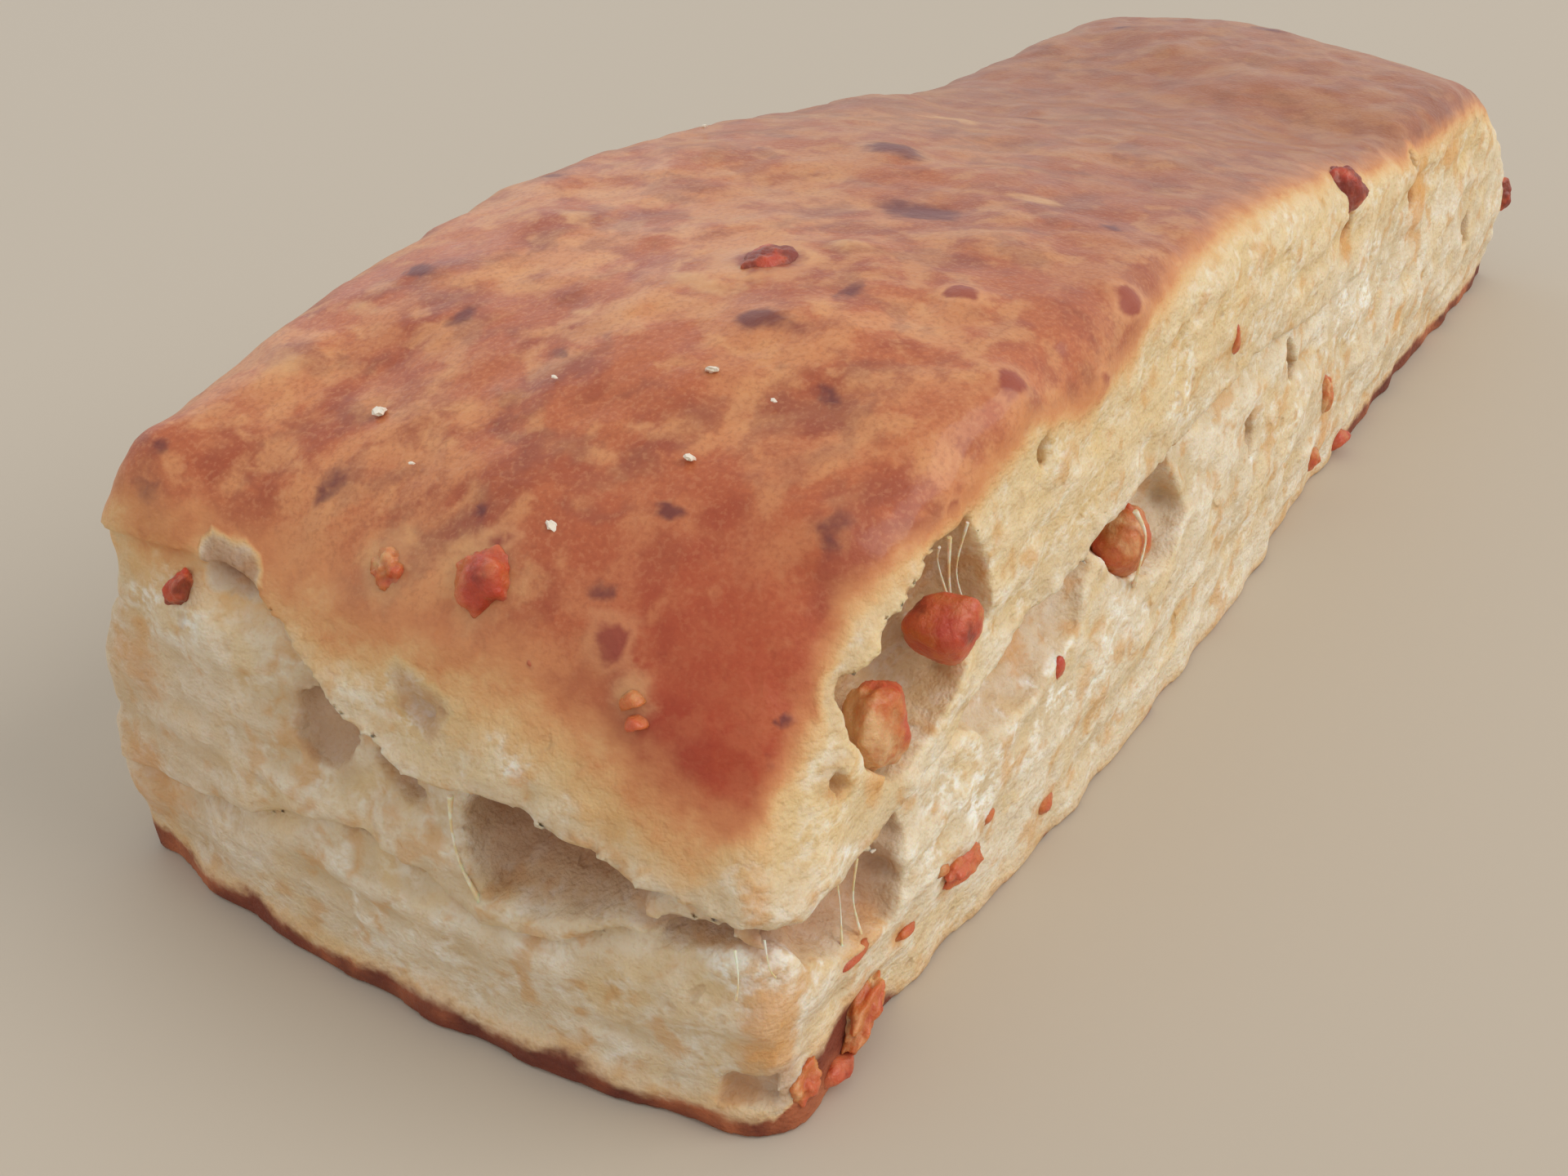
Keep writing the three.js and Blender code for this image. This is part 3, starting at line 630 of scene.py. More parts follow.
# White froth on the walls, in the same terms.
WHITE_PATCHES = [
    ("right", (-62.0, 17.6), 6.0, 2.4), ("right", (-70.0, 12.6), 4.0, 2.6),
    ("right", (-83.0, 18.4), 3.0, 1.6), ("right", (-93.6, 13.6), 1.4, 2.2),
    ("right", (-50.0, 14.0), 8.0, 3.0), ("right", (-30.0, 30.0), 5.0, 2.0),
    ("right", (-8.0, 14.0), 7.0, 3.4), ("right", (24.0, 20.0), 7.0, 4.0),
    ("near", (-28.4, 13.6), 1.8, 2.0), ("near", (2.0, 8.6), 5.0, 1.8),
    ("near", (22.0, 27.4), 3.4, 2.2), ("near", (-8.0, 25.0), 5.0, 1.2),
]


def spots(marks, x, y, z):
    """1 at the middle of each mark on the crust, 0.5 on its outline, and 0 well outside it."""
    x = x + 0.55 * noise(x / 1.6, y / 1.6, z / 1.6) + 0.25 * noise(x / 0.8, y / 0.8, z / 0.8)
    y = y + 0.55 * noise(x / 1.6 + 40, y / 1.6, z / 1.6) + 0.25 * noise(x / 0.8, y / 0.8 + 40, z / 0.8)
    total = np.zeros(np.shape(x))
    for middle, half_length, half_width in marks:
        u, v, w = x - middle[0], y - middle[1], z - middle[2]
        near = (np.abs(u) < 8) & (np.abs(v) < 8) & (np.abs(w) < 8)
        u, v, w = u[near] / half_length, v[near] / half_width, w[near] / half_length
        total[near] = np.maximum(total[near], np.exp2(-(u * u + v * v + w * w)))
    return total


def patches(marks, x, y, z):
    """The same for marks on the walls."""
    total = np.zeros(np.shape(x))
    for wall, (along, height), half_length, half_height in marks:
        t, depth = WALLS[wall](x, y, z)
        u, v = (t - along) / half_length, (z - height) / half_height
        total = np.maximum(total, np.exp2(-(u * u + v * v)) * rise(-depth, -7, -5))
    return total


def corner_gold(x, y, z):
    """1 on the upright near right corner of the loaf, where it baked golden."""
    away = np.maximum(WALLS["near"](x, y, z)[1], WALLS["right"](x, y, z)[1])
    return np.exp(-(away / 2.4) ** 2) * rise(z, 3, 8) * (1 - 0.7 * bump(z, 14.5, 2.4))


SHADED_POCKETS_END = -74.0         # nearer than this along X, a pocket in the right wall gets the full painted shade too


def pocket_shade(x, y, z):
    """How much painted shade a pocket's inside gets: 0 on the open surface and up to 1 at the bottom of
    a pocket.
    """
    total = np.zeros(np.shape(x))
    for pocket in POCKETS:
        low, high = pocket_box(pocket)
        near = ((x > low[0]) & (x < high[0]) & (y > low[1]) & (y < high[1])
                & (z > low[2]) & (z < high[2]))
        reach, depth = pocket_reach(pocket, x[near], y[near], z[near])
        share = rise(depth, 0.1, 0.3 * pocket[2]) * rise(-np.abs(reach), -1.2, -0.5)
        # Painted shade grows towards a pocket's bottom; shallow pockets, and pockets further along the
        # right wall, get less.
        share = share * (0.55 + 0.45 * rise(depth, 0.5, 0.8 * pocket[2])) * min(1, pocket[2] / 2.4)
        share = share * (1.0 if pocket[0] == "near" or high[0] < SHADED_POCKETS_END else 0.45)
        total[near] = np.maximum(total[near], share)
    return total


def upper_layer(x, y, z):
    """1 high on the walls, where the upper layer of dough is yellower, and 0 below its fold."""
    near_along, near_depth = WALLS["near"](x, y, z)
    right_along, right_depth = WALLS["right"](x, y, z)
    on_near = rise(z - follow(UPPER_FOLD_NEAR, near_along), -1.0, 5.0)
    on_right = rise(z - follow(FOLD_RIGHT, right_along), -1.0, 7.0)
    plain = rise(z, 14, 30)
    share = np.where(right_depth < near_depth, on_right, on_near)
    return np.where(np.minimum(right_depth, near_depth) < 8, share, plain)


def uneven(x, y, z, grain, shift, start, full):
    """Soft-edged blotches from 0 to 1, for what is coarser than the mesh."""
    drift = 0.6 * grain * noise(x / grain + shift, y / grain, z / grain)
    value = 0.5 + 0.5 * rough(x + shift + drift, y - drift, z + drift, grain, 3) / 1.4
    return rise(value, start, full)


# Soft blotches all over the dough: name, size in mm, shift, where they start and where they are full.
BLOTCH_VALUES = [
    ("tan", 5.0, 0.0, 0.34, 0.70), ("brown", 15.0, 31.0, 0.40, 0.75),
    ("russet", 3.2, 7.0, 0.46, 0.76), ("fair", 2.4, 53.0, 0.52, 0.78),
    ("burnt", 4.2, 77.0, 0.56, 0.76), ("yellow", 4.4, 61.0, 0.46, 0.76),
]
POCKET_DROP = 6.0                 # how much less baked, in mm, the bottom of a pocket counts


def describe_dough(piece):
    x, y, z = points_of(piece).T
    near_depth = WALLS["near"](x, y, z)[1]
    # How much painted shade each pocket's inside gets; it also makes the bottom of a pocket count as
    # less baked.
    deep = pocket_shade(x, y, z)
    set_value(piece, "deep", deep)
    set_value(piece, "raised", crumb_relief(x, y, z))
    set_value(piece, "upper", upper_layer(x, y, z))
    set_value(piece, "far", rise(x, -80, 30))

    # How far above the crust's edge a point is; the near end browns more slowly above it.
    above = baked(x, y, z)
    above = above * (1 - 0.38 * (above > 0) * rise(-near_depth, -18, -8) * rise(y, -24, -14))
    set_value(piece, "baked", np.clip(above - POCKET_DROP * deep, -20, 20))
    set_value(piece, "rim", np.clip(rim_top(x, y, z) - POCKET_DROP * deep, -4, 4))

    # Marks with a place of their own.
    for name, marks in (("dark_spot", DARK_SPOTS), ("red_spot", RED_SPOTS), ("blister", BLISTERS)):
        set_value(piece, name, spots(marks, x, y, z))
    amber = np.maximum(patches(AMBER_PATCHES, x, y, z), 1.15 * corner_gold(x, y, z))
    set_value(piece, "amber", amber)
    corner = bump(x, -93, 13) * bump(y, -24, 12) * rise(z, 20, 26)
    set_value(piece, "well_done", corner)
    # Painted shade low on the near end, stronger towards its left.
    low_on_near_end = rise(-near_depth, -7, -4) * rise(z, 30, 20)
    set_value(piece, "near_end_shade", low_on_near_end * (0.5 + 0.5 * rise(y, 4, 24)))

    # Unevenness all over.
    set_value(piece, "wobble", 0.28 * rough(x, y, z, 2.4, 3))
    for name, grain, shift, start, full in BLOTCH_VALUES:
        set_value(piece, name, uneven(x, y, z, grain, shift, start, full))
    froth = patches(WHITE_PATCHES, x, y, z)
    set_value(piece, "white", uneven(x, y, z * 1.3, 2.2, 13.0, 0.44, 0.74) * (0.6 + 1.2 * froth))
    set_value(piece, "specks", uneven(x, y, z * 0.8, 1.9, 91.0, 0.66, 0.74))


describe_dough(dough)

# ---- Materials --------------------------------------------------------------------------------


def colour(red, green, blue):
    """A colour given as it looks on a screen, from 0 to 255."""
    shares = [c / 255 for c in (red, green, blue)]
    return tuple(c / 12.92 if c < 0.04045 else ((c + 0.055) / 1.055) ** 2.4 for c in shares) + (1.0,)


def put(tree, value, socket):
    """Links a socket, or sets a plain value, on an input socket."""
    if isinstance(value, bpy.types.NodeSocket):
        tree.links.new(value, socket)
    else:
        socket.default_value = value


def node(tree, kind, inputs, **settings):
    """Adds a node with these settings, and puts a value or a link on each of these inputs."""
    made = tree.nodes.new(kind)
    for name, value in settings.items():
        setattr(made, name, value)
    for label, value in inputs.items():
        put(tree, value, made.inputs[label])
    return made


def new_tree(name, kind, inputs, outputs):
    """A node tree of its own with named sockets: (tree, what goes in, what comes out)."""
    tree = bpy.data.node_groups.new(name, kind)
    for in_out, sockets in (("INPUT", inputs), ("OUTPUT", outputs)):
        for label, socket_type in sockets.items():
            tree.interface.new_socket(label, in_out=in_out, socket_type=socket_type)
    return tree, tree.nodes.new("NodeGroupInput").outputs, tree.nodes.new("NodeGroupOutput").inputs


def attribute(tree, name):
    """A value that was stored on the piece's points."""
    return node(tree, "ShaderNodeAttribute", {}, attribute_name=name).outputs["Fac"]


def maths(tree, operation, a, b):
    return node(tree, "ShaderNodeMath", {0: a, 1: b}, operation=operation).outputs[0]


def plus(tree, value, more, share):
    """value + more * share"""
    return maths(tree, "ADD", value, maths(tree, "MULTIPLY", more, share))


def ramp(tree, value, start, end):
    """Goes smoothly from 0 to 1 as `value` goes from start to end."""
    inputs = {"Value": value, "From Min": min(start, end), "From Max": max(start, end),
              "To Min": float(start > end), "To Max": float(start < end)}
    return node(tree, "ShaderNodeMapRange", inputs, interpolation_type="SMOOTHSTEP").outputs["Result"]


def blend(tree, share, a, b):
    """Colour a where share is 0 and colour b where it is 1."""
    return node(tree, "ShaderNodeMix", {"Factor": share, 6: a, 7: b}, data_type="RGBA").outputs[2]


def tint(tree, skin, mask, strength, shade):
    """Lays a shade over the skin where the mask is 1, at most as thick as `strength`."""
    return blend(tree, maths(tree, "MULTIPLY", mask, strength), skin, colour(*shade))


def place(tree, stretch=(1, 1, 1)):
    """The point being shaded, in mm, stretched along the axes."""
    where = node(tree, "ShaderNodeTexCoord", {}).outputs["Object"]
    return node(tree, "ShaderNodeVectorMath", {0: where, 1: [s / MM for s in stretch]},
                operation="MULTIPLY").outputs[0]


NOISE_ROUGHNESS = 0.6             # how strong each finer layer of a noise is


def cloud(tree, where, grain, detail=2.0):
    """Noise from 0 to 1; `grain` is the size of its blotches in mm."""
    inputs = {"Vector": where, "Scale": 1 / grain, "Detail": detail, "Roughness": NOISE_ROUGHNESS}
    return node(tree, "ShaderNodeTexNoise", inputs).outputs["Fac"]


def blotches_group():
    """Soft-edged blotches, for every material whose colour is uneven."""
    inputs = {"Place": "NodeSocketVector"}
    for name in ("Grain", "Shift", "Start", "Full", "Strength"):
        inputs[name] = "NodeSocketFloat"
    group, given, result = new_tree("blotches", "ShaderNodeTree", inputs, {"Mask": "NodeSocketFloat"})
    moved = node(group, "ShaderNodeVectorMath", {0: given["Place"], 1: given["Shift"]},
                 operation="ADD")
    pattern = node(group, "ShaderNodeTexNoise", {
        "Vector": moved.outputs[0], "Scale": maths(group, "DIVIDE", 1.0, given["Grain"]),
        "Detail": 2.0, "Roughness": NOISE_ROUGHNESS})
    soft = node(group, "ShaderNodeMapRange", {
        "Value": pattern.outputs["Fac"], "From Min": given["Start"], "From Max": given["Full"],
        }, interpolation_type="SMOOTHSTEP")
    mask = maths(group, "MULTIPLY", soft.outputs["Result"], given["Strength"])
    put(group, mask, result["Mask"])
    return group


BLOTCHES = blotches_group()


def blotches(tree, where, grain, shift, start, full, strength=1.0):
    """The group's mask, from 0 to `strength`; `grain` is the size of the blotches in mm."""
    inputs = {"Place": where, "Grain": grain, "Shift": shift, "Start": start, "Full": full,
              "Strength": strength}
    return node(tree, "ShaderNodeGroup", inputs, node_tree=BLOTCHES).outputs["Mask"]


def relief(tree, shader, height, depth):
    """Raises the surface by `height` times `depth` mm, as seen by the light only."""
    bumps = node(tree, "ShaderNodeBump", {"Strength": 1.0, "Distance": depth * MM, "Height": height})
    put(tree, bumps.outputs["Normal"], shader.inputs["Normal"])


def new_material(name, constants):
    """A material with these constants on its shader: (material, its node tree, the shader)."""
    material = bpy.data.materials.new(name)
    material.use_nodes = True
    shader = material.node_tree.nodes["Principled BSDF"]
    for label, value in constants.items():
        shader.inputs[label].default_value = value
    return material, material.node_tree, shader


CRUST_BASE = (197, 112, 71)
# Blotches on the crust: name, strength, colour.
CRUST_BLOTCHES = [
    ("tan", 1.0, (218, 146, 96)), ("brown", 0.45, (180, 94, 62)), ("russet", 0.55, (160, 74, 50)),
    ("fair", 0.60, (226, 162, 108)), ("burnt", 0.34, (132, 74, 64)),
]
# Marks on the crust: name, how frayed they are, where they start and are full, strength, colour.
CRUST_MARKS = [
    ("blister", 1.0, 0.30, 1.00, 0.60, (228, 176, 122)),
    ("red_spot", 0.6, 0.12, 0.40, 0.45, (222, 158, 110)),
    ("red_spot", 0.6, 0.42, 0.72, 0.80, (150, 58, 48)),
    ("dark_spot", 0.8, 0.34, 0.90, 0.84, (112, 54, 54)),
]
GOLDEN = (230, 186, 130)          # dough between the crumb and the crust


def crust_colour(tree, fine, froth, wobble):
    """Reddish brown with orange-tan, darker and burnt blotches, spots and pale blisters."""
    skin = colour(*CRUST_BASE)
    for name, strength, shade in CRUST_BLOTCHES:
        mask = ramp(tree, plus(tree, attribute(tree, name), fine, 0.7), 0.35, 1.35)
        skin = tint(tree, skin, mask, strength, shade)
    skin = tint(tree, skin, ramp(tree, froth, 0.50, 0.74), 0.26, (156, 80, 54))
    skin = tint(tree, skin, ramp(tree, froth, 0.46, 0.28), 0.20, (226, 168, 120))
    skin = tint(tree, skin, attribute(tree, "far"), 0.60, (148, 100, 74))
    skin = tint(tree, skin, attribute(tree, "well_done"), 0.76, (176, 58, 28))
    for name, fray, start, full, strength, shade in CRUST_MARKS:
        mask = ramp(tree, plus(tree, attribute(tree, name), wobble, fray), start, full)
        skin = tint(tree, skin, mask, strength, shade)
    return skin


def crumb_colour(tree, fine, froth, wobble, pore):
    """Cream, paler where it stands out and darker in its hollows as painted shade, yellower in the
    upper layer, and darker and browner in the pockets as painted shade.
    """
    # Paler where the crumb stands out and darker in its hollows: painted shade in the hollows.
    raised = ramp(tree, plus(tree, attribute(tree, "raised"), wobble, 0.4), -0.50, 0.45)
    skin = blend(tree, raised, colour(216, 193, 154), colour(238, 225, 199))
    skin = tint(tree, skin, attribute(tree, "upper"), 0.50, (236, 204, 144))
    skin = tint(tree, skin, attribute(tree, "yellow"), 0.40, (232, 198, 134))
    skin = tint(tree, skin, ramp(tree, froth, 0.50, 0.74), 0.25, (214, 180, 128))
    skin = tint(tree, skin, ramp(tree, fine, 0.52, 0.72), 0.30, (206, 170, 122))
    white = maths(tree, "MULTIPLY", attribute(tree, "white"), ramp(tree, fine, 0.62, 0.36))
    skin = tint(tree, skin, white, 0.85, (250, 245, 230))
    # Painted shade in the pores.
    skin = tint(tree, skin, pore, 0.40, (192, 150, 104))
    skin = tint(tree, skin, attribute(tree, "specks"), 0.60, (216, 164, 100))
    amber = ramp(tree, plus(tree, attribute(tree, "amber"), wobble, 1.3), 0.20, 1.00)
    skin = tint(tree, skin, amber, 0.68, (222, 158, 84))
    # Painted shade low on the near end.
    skin = tint(tree, skin, attribute(tree, "near_end_shade"), 0.30, (206, 170, 140))
    # Painted shade inside the pockets.
    return tint(tree, skin, attribute(tree, "deep"), 0.76, (182, 136, 104))


def dough_material():
    material, tree, shader = new_material("baked_dough", {
        "Specular IOR Level": 0.20, "Coat Roughness": 0.17, "Subsurface Weight": 0.40,
        "Subsurface Radius": (1.0, 0.65, 0.35), "Subsurface Scale": 0.0011})
    where = place(tree)
    fine = cloud(tree, place(tree, (1, 1, 1.5)), 1.1)
    froth = blotches(tree, where, 0.42, 9.0, 0.0, 1.0)
    wobble = plus(tree, attribute(tree, "wobble"), maths(tree, "SUBTRACT", fine, 0.5), 0.5)
    # Pores are dents in the bump, tinted darker as painted shade.
    pore = ramp(tree, cloud(tree, where, 1.6, 0.0), 0.66, 0.82)
    pore = maths(tree, "MULTIPLY", pore, attribute(tree, "yellow"))
    crumb = crumb_colour(tree, fine, froth, wobble, pore)
    crust = crust_colour(tree, fine, froth, wobble)

    # Between them the dough is golden; the foot of the walls has a brown rim.
    edge = plus(tree, attribute(tree, "baked"), wobble, 3.0)
    skin = blend(tree, ramp(tree, edge, -3.2, 0.4), crumb, colour(*GOLDEN))
    skin = blend(tree, ramp(tree, edge, -1.0, 1.6), skin, colour(216, 146, 94))
    skin = blend(tree, ramp(tree, edge, 0.4, 3.8), skin, crust)
    foot = plus(tree, attribute(tree, "rim"), wobble, 1.8)
    rim = blend(tree, attribute(tree, "tan"), colour(128, 66, 48), colour(184, 108, 72))
    rim = tint(tree, rim, attribute(tree, "russet"), 0.7, (104, 54, 44))
    skin = tint(tree, skin, ramp(tree, foot, -1.8, 0.2), 0.6, GOLDEN)
    skin = blend(tree, ramp(tree, foot, -0.5, 0.7), skin, rim)
    put(tree, skin, shader.inputs["Base Color"])

    # The crust is smoother and shinier than the crumb.
    on_crust = ramp(tree, attribute(tree, "baked"), -0.5, 2.0)
    dull = plus(tree, plus(tree, 0.58, on_crust, -0.12), wobble, 0.25)
    put(tree, dull, shader.inputs["Roughness"])
    put(tree, maths(tree, "MULTIPLY", on_crust, 0.28), shader.inputs["Coat Weight"])
    height = plus(tree, maths(tree, "MULTIPLY", fine, 0.8), froth, 0.3)
    height = plus(tree, height, pore, -0.5)
    spongy = plus(tree, 1.0, on_crust, -0.64)
    relief(tree, shader, maths(tree, "MULTIPLY", height, spongy), 0.36)
    return material


def crackling_material():
    """Red-brown skin, darker where "pale" is below 0, orange and then frosted as it grows."""
    material, tree, shader = new_material("crackling", {
        "Roughness": 0.44, "Specular IOR Level": 0.36, "Coat Weight": 0.22, "Coat Roughness": 0.22,
        "Subsurface Weight": 0.45, "Subsurface Radius": (1.0, 0.35, 0.15),
        "Subsurface Scale": 0.0015})
    where = place(tree)
    skin = blend(tree, blotches(tree, where, 3.0, 3.0, 0.34, 0.66), colour(192, 72, 46),
                 colour(208, 108, 68))
    skin = blend(tree, blotches(tree, where, 1.6, 29.0, 0.52, 0.78, 0.45), skin,
                 colour(222, 150, 104))
    mottled = maths(tree, "SUBTRACT", cloud(tree, where, 2.4, 3), 0.5)
    pale = plus(tree, attribute(tree, "pale"), mottled, 1.4)
    skin = tint(tree, skin, ramp(tree, pale, 0.0, -0.4), 0.8, (118, 44, 30))
    skin = blend(tree, ramp(tree, pale, 0.10, 0.50), skin, colour(204, 118, 62))
    skin = blend(tree, ramp(tree, pale, 0.40, 0.85), skin, colour(224, 176, 124))
    put(tree, skin, shader.inputs["Base Color"])
    relief(tree, shader, cloud(tree, where, 0.8, 3), 0.30)
    return material


def thread_material():
    material, tree, shader = new_material("stretched_dough", {
        "Roughness": 0.45, "Subsurface Weight": 0.6, "Subsurface Scale": 0.0008})
    skin = blend(tree, blotches(tree, place(tree), 1.2, 11.0, 0.40, 0.60), colour(244, 234, 212),
                 colour(232, 208, 160))
    put(tree, skin, shader.inputs["Base Color"])
    return material


def plain_material(name, base, roughness):
    return new_material(name, {"Base Color": base, "Roughness": roughness})[0]


DOUGH = dough_material()
CRACKLING = crackling_material()
THREAD = thread_material()
SALT = plain_material("salt", colour(240, 228, 208), 0.5)

dough.data.materials.append(DOUGH)
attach(dough, "root")
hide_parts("dough")

# ---- Pieces of crackling ----------------------------------------------------------------------

# Each piece of crackling: number, middle, half sizes, lean in degrees about the wall it sits in,
# that wall, how many facets it has and how sharp their edges are, how ragged its skin is, how
# pale it is, and how much paler it grows towards its near side.
CRACKLINGS = [
    (1, (-71.8, -28.9, 28.3), (2.4, 2.5, 2.6), 36, "right", 6, 3.4, 0.03, 0.0, 0.0),
    (2, (-79.6, -28.0, 24.6), (2.8, 2.2, 3.5), 14, "right", 9, 4, 0.10, 0.46, 0.5),
    (3, (-41.6, -29.4, 20.8), (3.5, 2.6, 3.5), -16, "right", 11, 3.6, 0.07, 0.42, 0.0),
    (4, (-70.6, -30.1, 7.8), (3.5, 1.6, 1.9), -12, "right", 9, 6, 0.26, 0.25, 0.0),
    (5, (14.2, -29.0, 12.2), (1.6, 1.9, 2.8), 14, "right", 11, 5, 0.12, 0.5, 0.3),
    (6, (13.2, -28.6, 5.2), (2.2, 1.8, 2.0), 0, "right", 11, 5, 0.12, 0.3, 0.0),
    (7, (16.2, -27.3, 33.7), (3.2, 2.8, 3.1), 20, "right", 11, 3, 0.12, -0.40, 0.0),
    (8, (94.8, -28.2, 11.2), (2.2, 2.2, 2.8), 0, "right", 11, 4, 0.10, -0.20, 0.0),
    (9, (-89.4, -4.5, 33.6), (2.8, 2.7, 2.6), 0, "top", 11, 3, 0.16, 0.10, 0.0),
    (10, (-90.6, 3.0, 32.6), (1.9, 1.9, 1.9), 0, "top", 11, 3, 0.20, 0.38, 0.0),
    (11, (-56.4, -4.9, 44.3), (3.1, 2.7, 2.0), 0, "top", 11, 3, 0.16, -0.30, 0.0),
    (12, (-84.2, -29.8, 3.4), (3.6, 1.6, 1.5), 30, "right", 9, 5, 0.28, 0.50, 0.0),
    (13, (-91.4, -29.2, 3.0), (2.1, 1.6, 1.5), 35, "right", 9, 5, 0.28, 0.22, 0.0),
    (14, (-95.0, 20.4, 28.4), (1.5, 1.0, 1.7), -24, "near", 9, 4, 0.14, -0.20, 0.0),
]
OUTWARD = {"near": (-1, 0, 0), "right": (0, -1, 0), "top": (0, 0, 1)}
GOLDEN_ANGLE = 2.39996            # radians; a turn that spreads points evenly


def ball(times):
    """A ball of near-even triangles: (points on the unit ball, faces)."""
    mesh = bpy.data.meshes.new("ball")
    shape = bmesh.new()
    bmesh.ops.create_icosphere(shape, subdivisions=times, radius=1)
    shape.to_mesh(mesh)
    shape.free()
    points = np.array([v.co for v in mesh.vertices])
    faces = np.array([list(p.vertices) for p in mesh.polygons])
    bpy.data.meshes.remove(mesh)
    return points, faces


def turned(points, axis, degrees):
    """Points turned about an axis through the origin."""
    turn = np.array(Matrix.Rotation(math.radians(degrees), 3, Vector(axis)))
    return points @ turn.T


def facings(rng, facets):
    """The directions a chunk's facets face: a rough box's six, or spread evenly over a ball."""
    if facets == 6:
        spread = np.concatenate((np.eye(3), -np.eye(3)))
    else:
        number = np.arange(facets)
        up = 1 - (2 * number + 1) / facets
        flat, turn = np.sqrt(1 - up * up), GOLDEN_ANGLE * number
        spread = np.stack((flat * np.cos(turn), flat * np.sin(turn), up), axis=1)
    spread = spread + rng.uniform(-0.22, 0.22, spread.shape)
    return spread / np.linalg.norm(spread, axis=1)[:, None]


def chunk(points, seed, facets, sharpness):
    """How far a chunk with blunt facets reaches along each direction, about 1."""
    rng = np.random.default_rng(seed)
    total = 0.0
    for facing in facings(rng, facets):
        total = total + np.maximum(points @ facing / rng.uniform(0.78, 0.98), 0) ** sharpness
    return total ** (-1 / sharpness)


def make_crackling(number, at, half_sizes, lean, wall, facets, sharpness, ragged, pale, fade):
    points, faces = ball(5)
    reach = chunk(points, number, facets, sharpness)
    x, y, z = (points * 1.4 + number * 7.7).T
    uneven_skin = 0.06 * noise(x, y, z) + ragged * noise(x * 2.2, y * 2.2, z * 2.2)
    reach = reach * (1 + uneven_skin + (0.016 + 0.12 * ragged) * rough(x * 5, y * 5, z * 5, 1.0, 3))
    shape = points * reach[:, None]
    shape = shape / np.abs(shape).max(axis=0) * half_sizes
    shape = turned(shape, OUTWARD[wall], lean)
    piece = mesh_object(f"crackling_piece_{number:02d}", shape + np.array(at), faces)
    set_value(piece, "pale", pale - fade * points[:, 0] + 0.25 * noise(x * 1.3, y * 1.3, z * 1.3))
    piece.data.materials.append(CRACKLING)
    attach(piece, "root")
    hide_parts(f"crackling_{number:02d}")


for spec in CRACKLINGS:
    make_crackling(*spec)

# ---- Small things: bits of crackling, salt, threads -------------------------------------------

# Bits of crackling baked into the walls: middle, half sizes, and how pale each is.
BITS = [
    ((-91.2, -17.2, 29.7), (1.2, 0.9, 0.6), 0.4), ((-90.3, -18.2, 29.4), (1.0, 0.8, 0.6), 0.6),
    ((-92.1, -17.9, 28.6), (0.9, 0.8, 0.5), 0.3), ((-92.0, -9.6, 30.2), (0.6, 0.5, 0.5), 0.0),
    ((-84.6, -29.7, 9.4), (2.6, 0.5, 0.6), 0.2), ((-77.8, -29.8, 6.4), (1.4, 0.5, 0.5), 0.3),
    ((-87.6, -30.0, 1.4), (2.2, 1.0, 0.9), 0.0), ((-74.0, -30.6, 9.6), (0.8, 0.5, 0.6), 0.4),
    ((-66.8, -30.4, 9.6), (1.2, 0.6, 0.9), 0.3), ((-56.2, -30.4, 3.8), (1.4, 0.7, 1.1), 0.4),
    ((-54.8, -30.2, 16.1), (1.2, 0.7, 1.2), 0.2), ((-18.5, -29.6, 30.6), (1.1, 0.6, 1.7), 0.3),
    ((41.8, -28.6, 11.4), (1.5, 0.8, 1.6), 0.4), ((53.3, -28.2, 18.9), (1.4, 0.8, 2.2), 0.3),
    ((26.5, -28.6, 1.9), (2.4, 1.3, 1.2), 0.1), ((-30.0, 31.6, 18.0), (1.5, 0.8, 1.5), 0.3),
    ((22.0, 31.4, 24.0), (1.6, 0.8, 1.4), 0.0), ((66.0, 30.0, 12.0), (1.5, 0.8, 1.6), 0.4),
    ((94.6, 8.0, 14.0), (0.8, 1.5, 1.4), 0.0), ((94.4, 18.0, 22.0), (0.8, 1.4, 1.3), 0.3),
]
# Salt on the crust: place and size in mm.
SALT_GRAINS = [
    ((-71.4, -10.2, 43.1), 0.62), ((-82.3, 11.3, 39.3), 0.62), ((-90.0, 21.8, 35.9), 0.50),
    ((-78.8, -13.3, 40.3), 0.50), ((-86.5, -7.6, 37.2), 0.52), ((-76.3, -0.1, 42.2), 0.22),
    ((-85.8, 5.2, 38.2), 0.22), ((-72.2, -15.7, 42.4), 0.22), ((-25.8, 21.9, 44.1), 0.40),
]
# Threads of stretched dough across the pockets: thickness in mm, then the points they run through.
THREADS = [
    (0.11, [(-71.4, -28.9, 35.2), (-70.6, -28.6, 31.4), (-70.2, -28.9, 27.6)]),
    (0.08, [(-69.6, -29.3, 35.6), (-69.4, -28.5, 31.5), (-68.4, -29.0, 27.8)]),
    (0.07, [(-72.6, -28.8, 35.0), (-71.6, -28.2, 33.2), (-70.8, -28.6, 30.2)]),
    (0.16, [(-43.4, -31.2, 25.0), (-42.4, -31.9, 22.4), (-43.2, -31.8, 19.4), (-41.6, -31.0, 17.2)]),
    (0.09, [(-83.2, -28.8, 16.2), (-83.8, -28.9, 13.2), (-83.6, -29.4, 10.2)]),
    (0.07, [(-85.6, -28.6, 16.4), (-85.0, -28.6, 13.4), (-85.8, -29.2, 10.6)]),
    (0.05, [(-93.6, -28.2, 16.6), (-93.9, -28.7, 14.8), (-93.2, -28.7, 13.4)]),
    (0.16, [(-96.6, -5.4, 20.9), (-96.8, -5.3, 18.4), (-97.0, -5.9, 15.6), (-97.0, -7.4, 12.8)]),
    (0.07, [(-94.6, -26.6, 15.8), (-95.2, -27.2, 14.0), (-95.0, -26.8, 12.0)]),
]


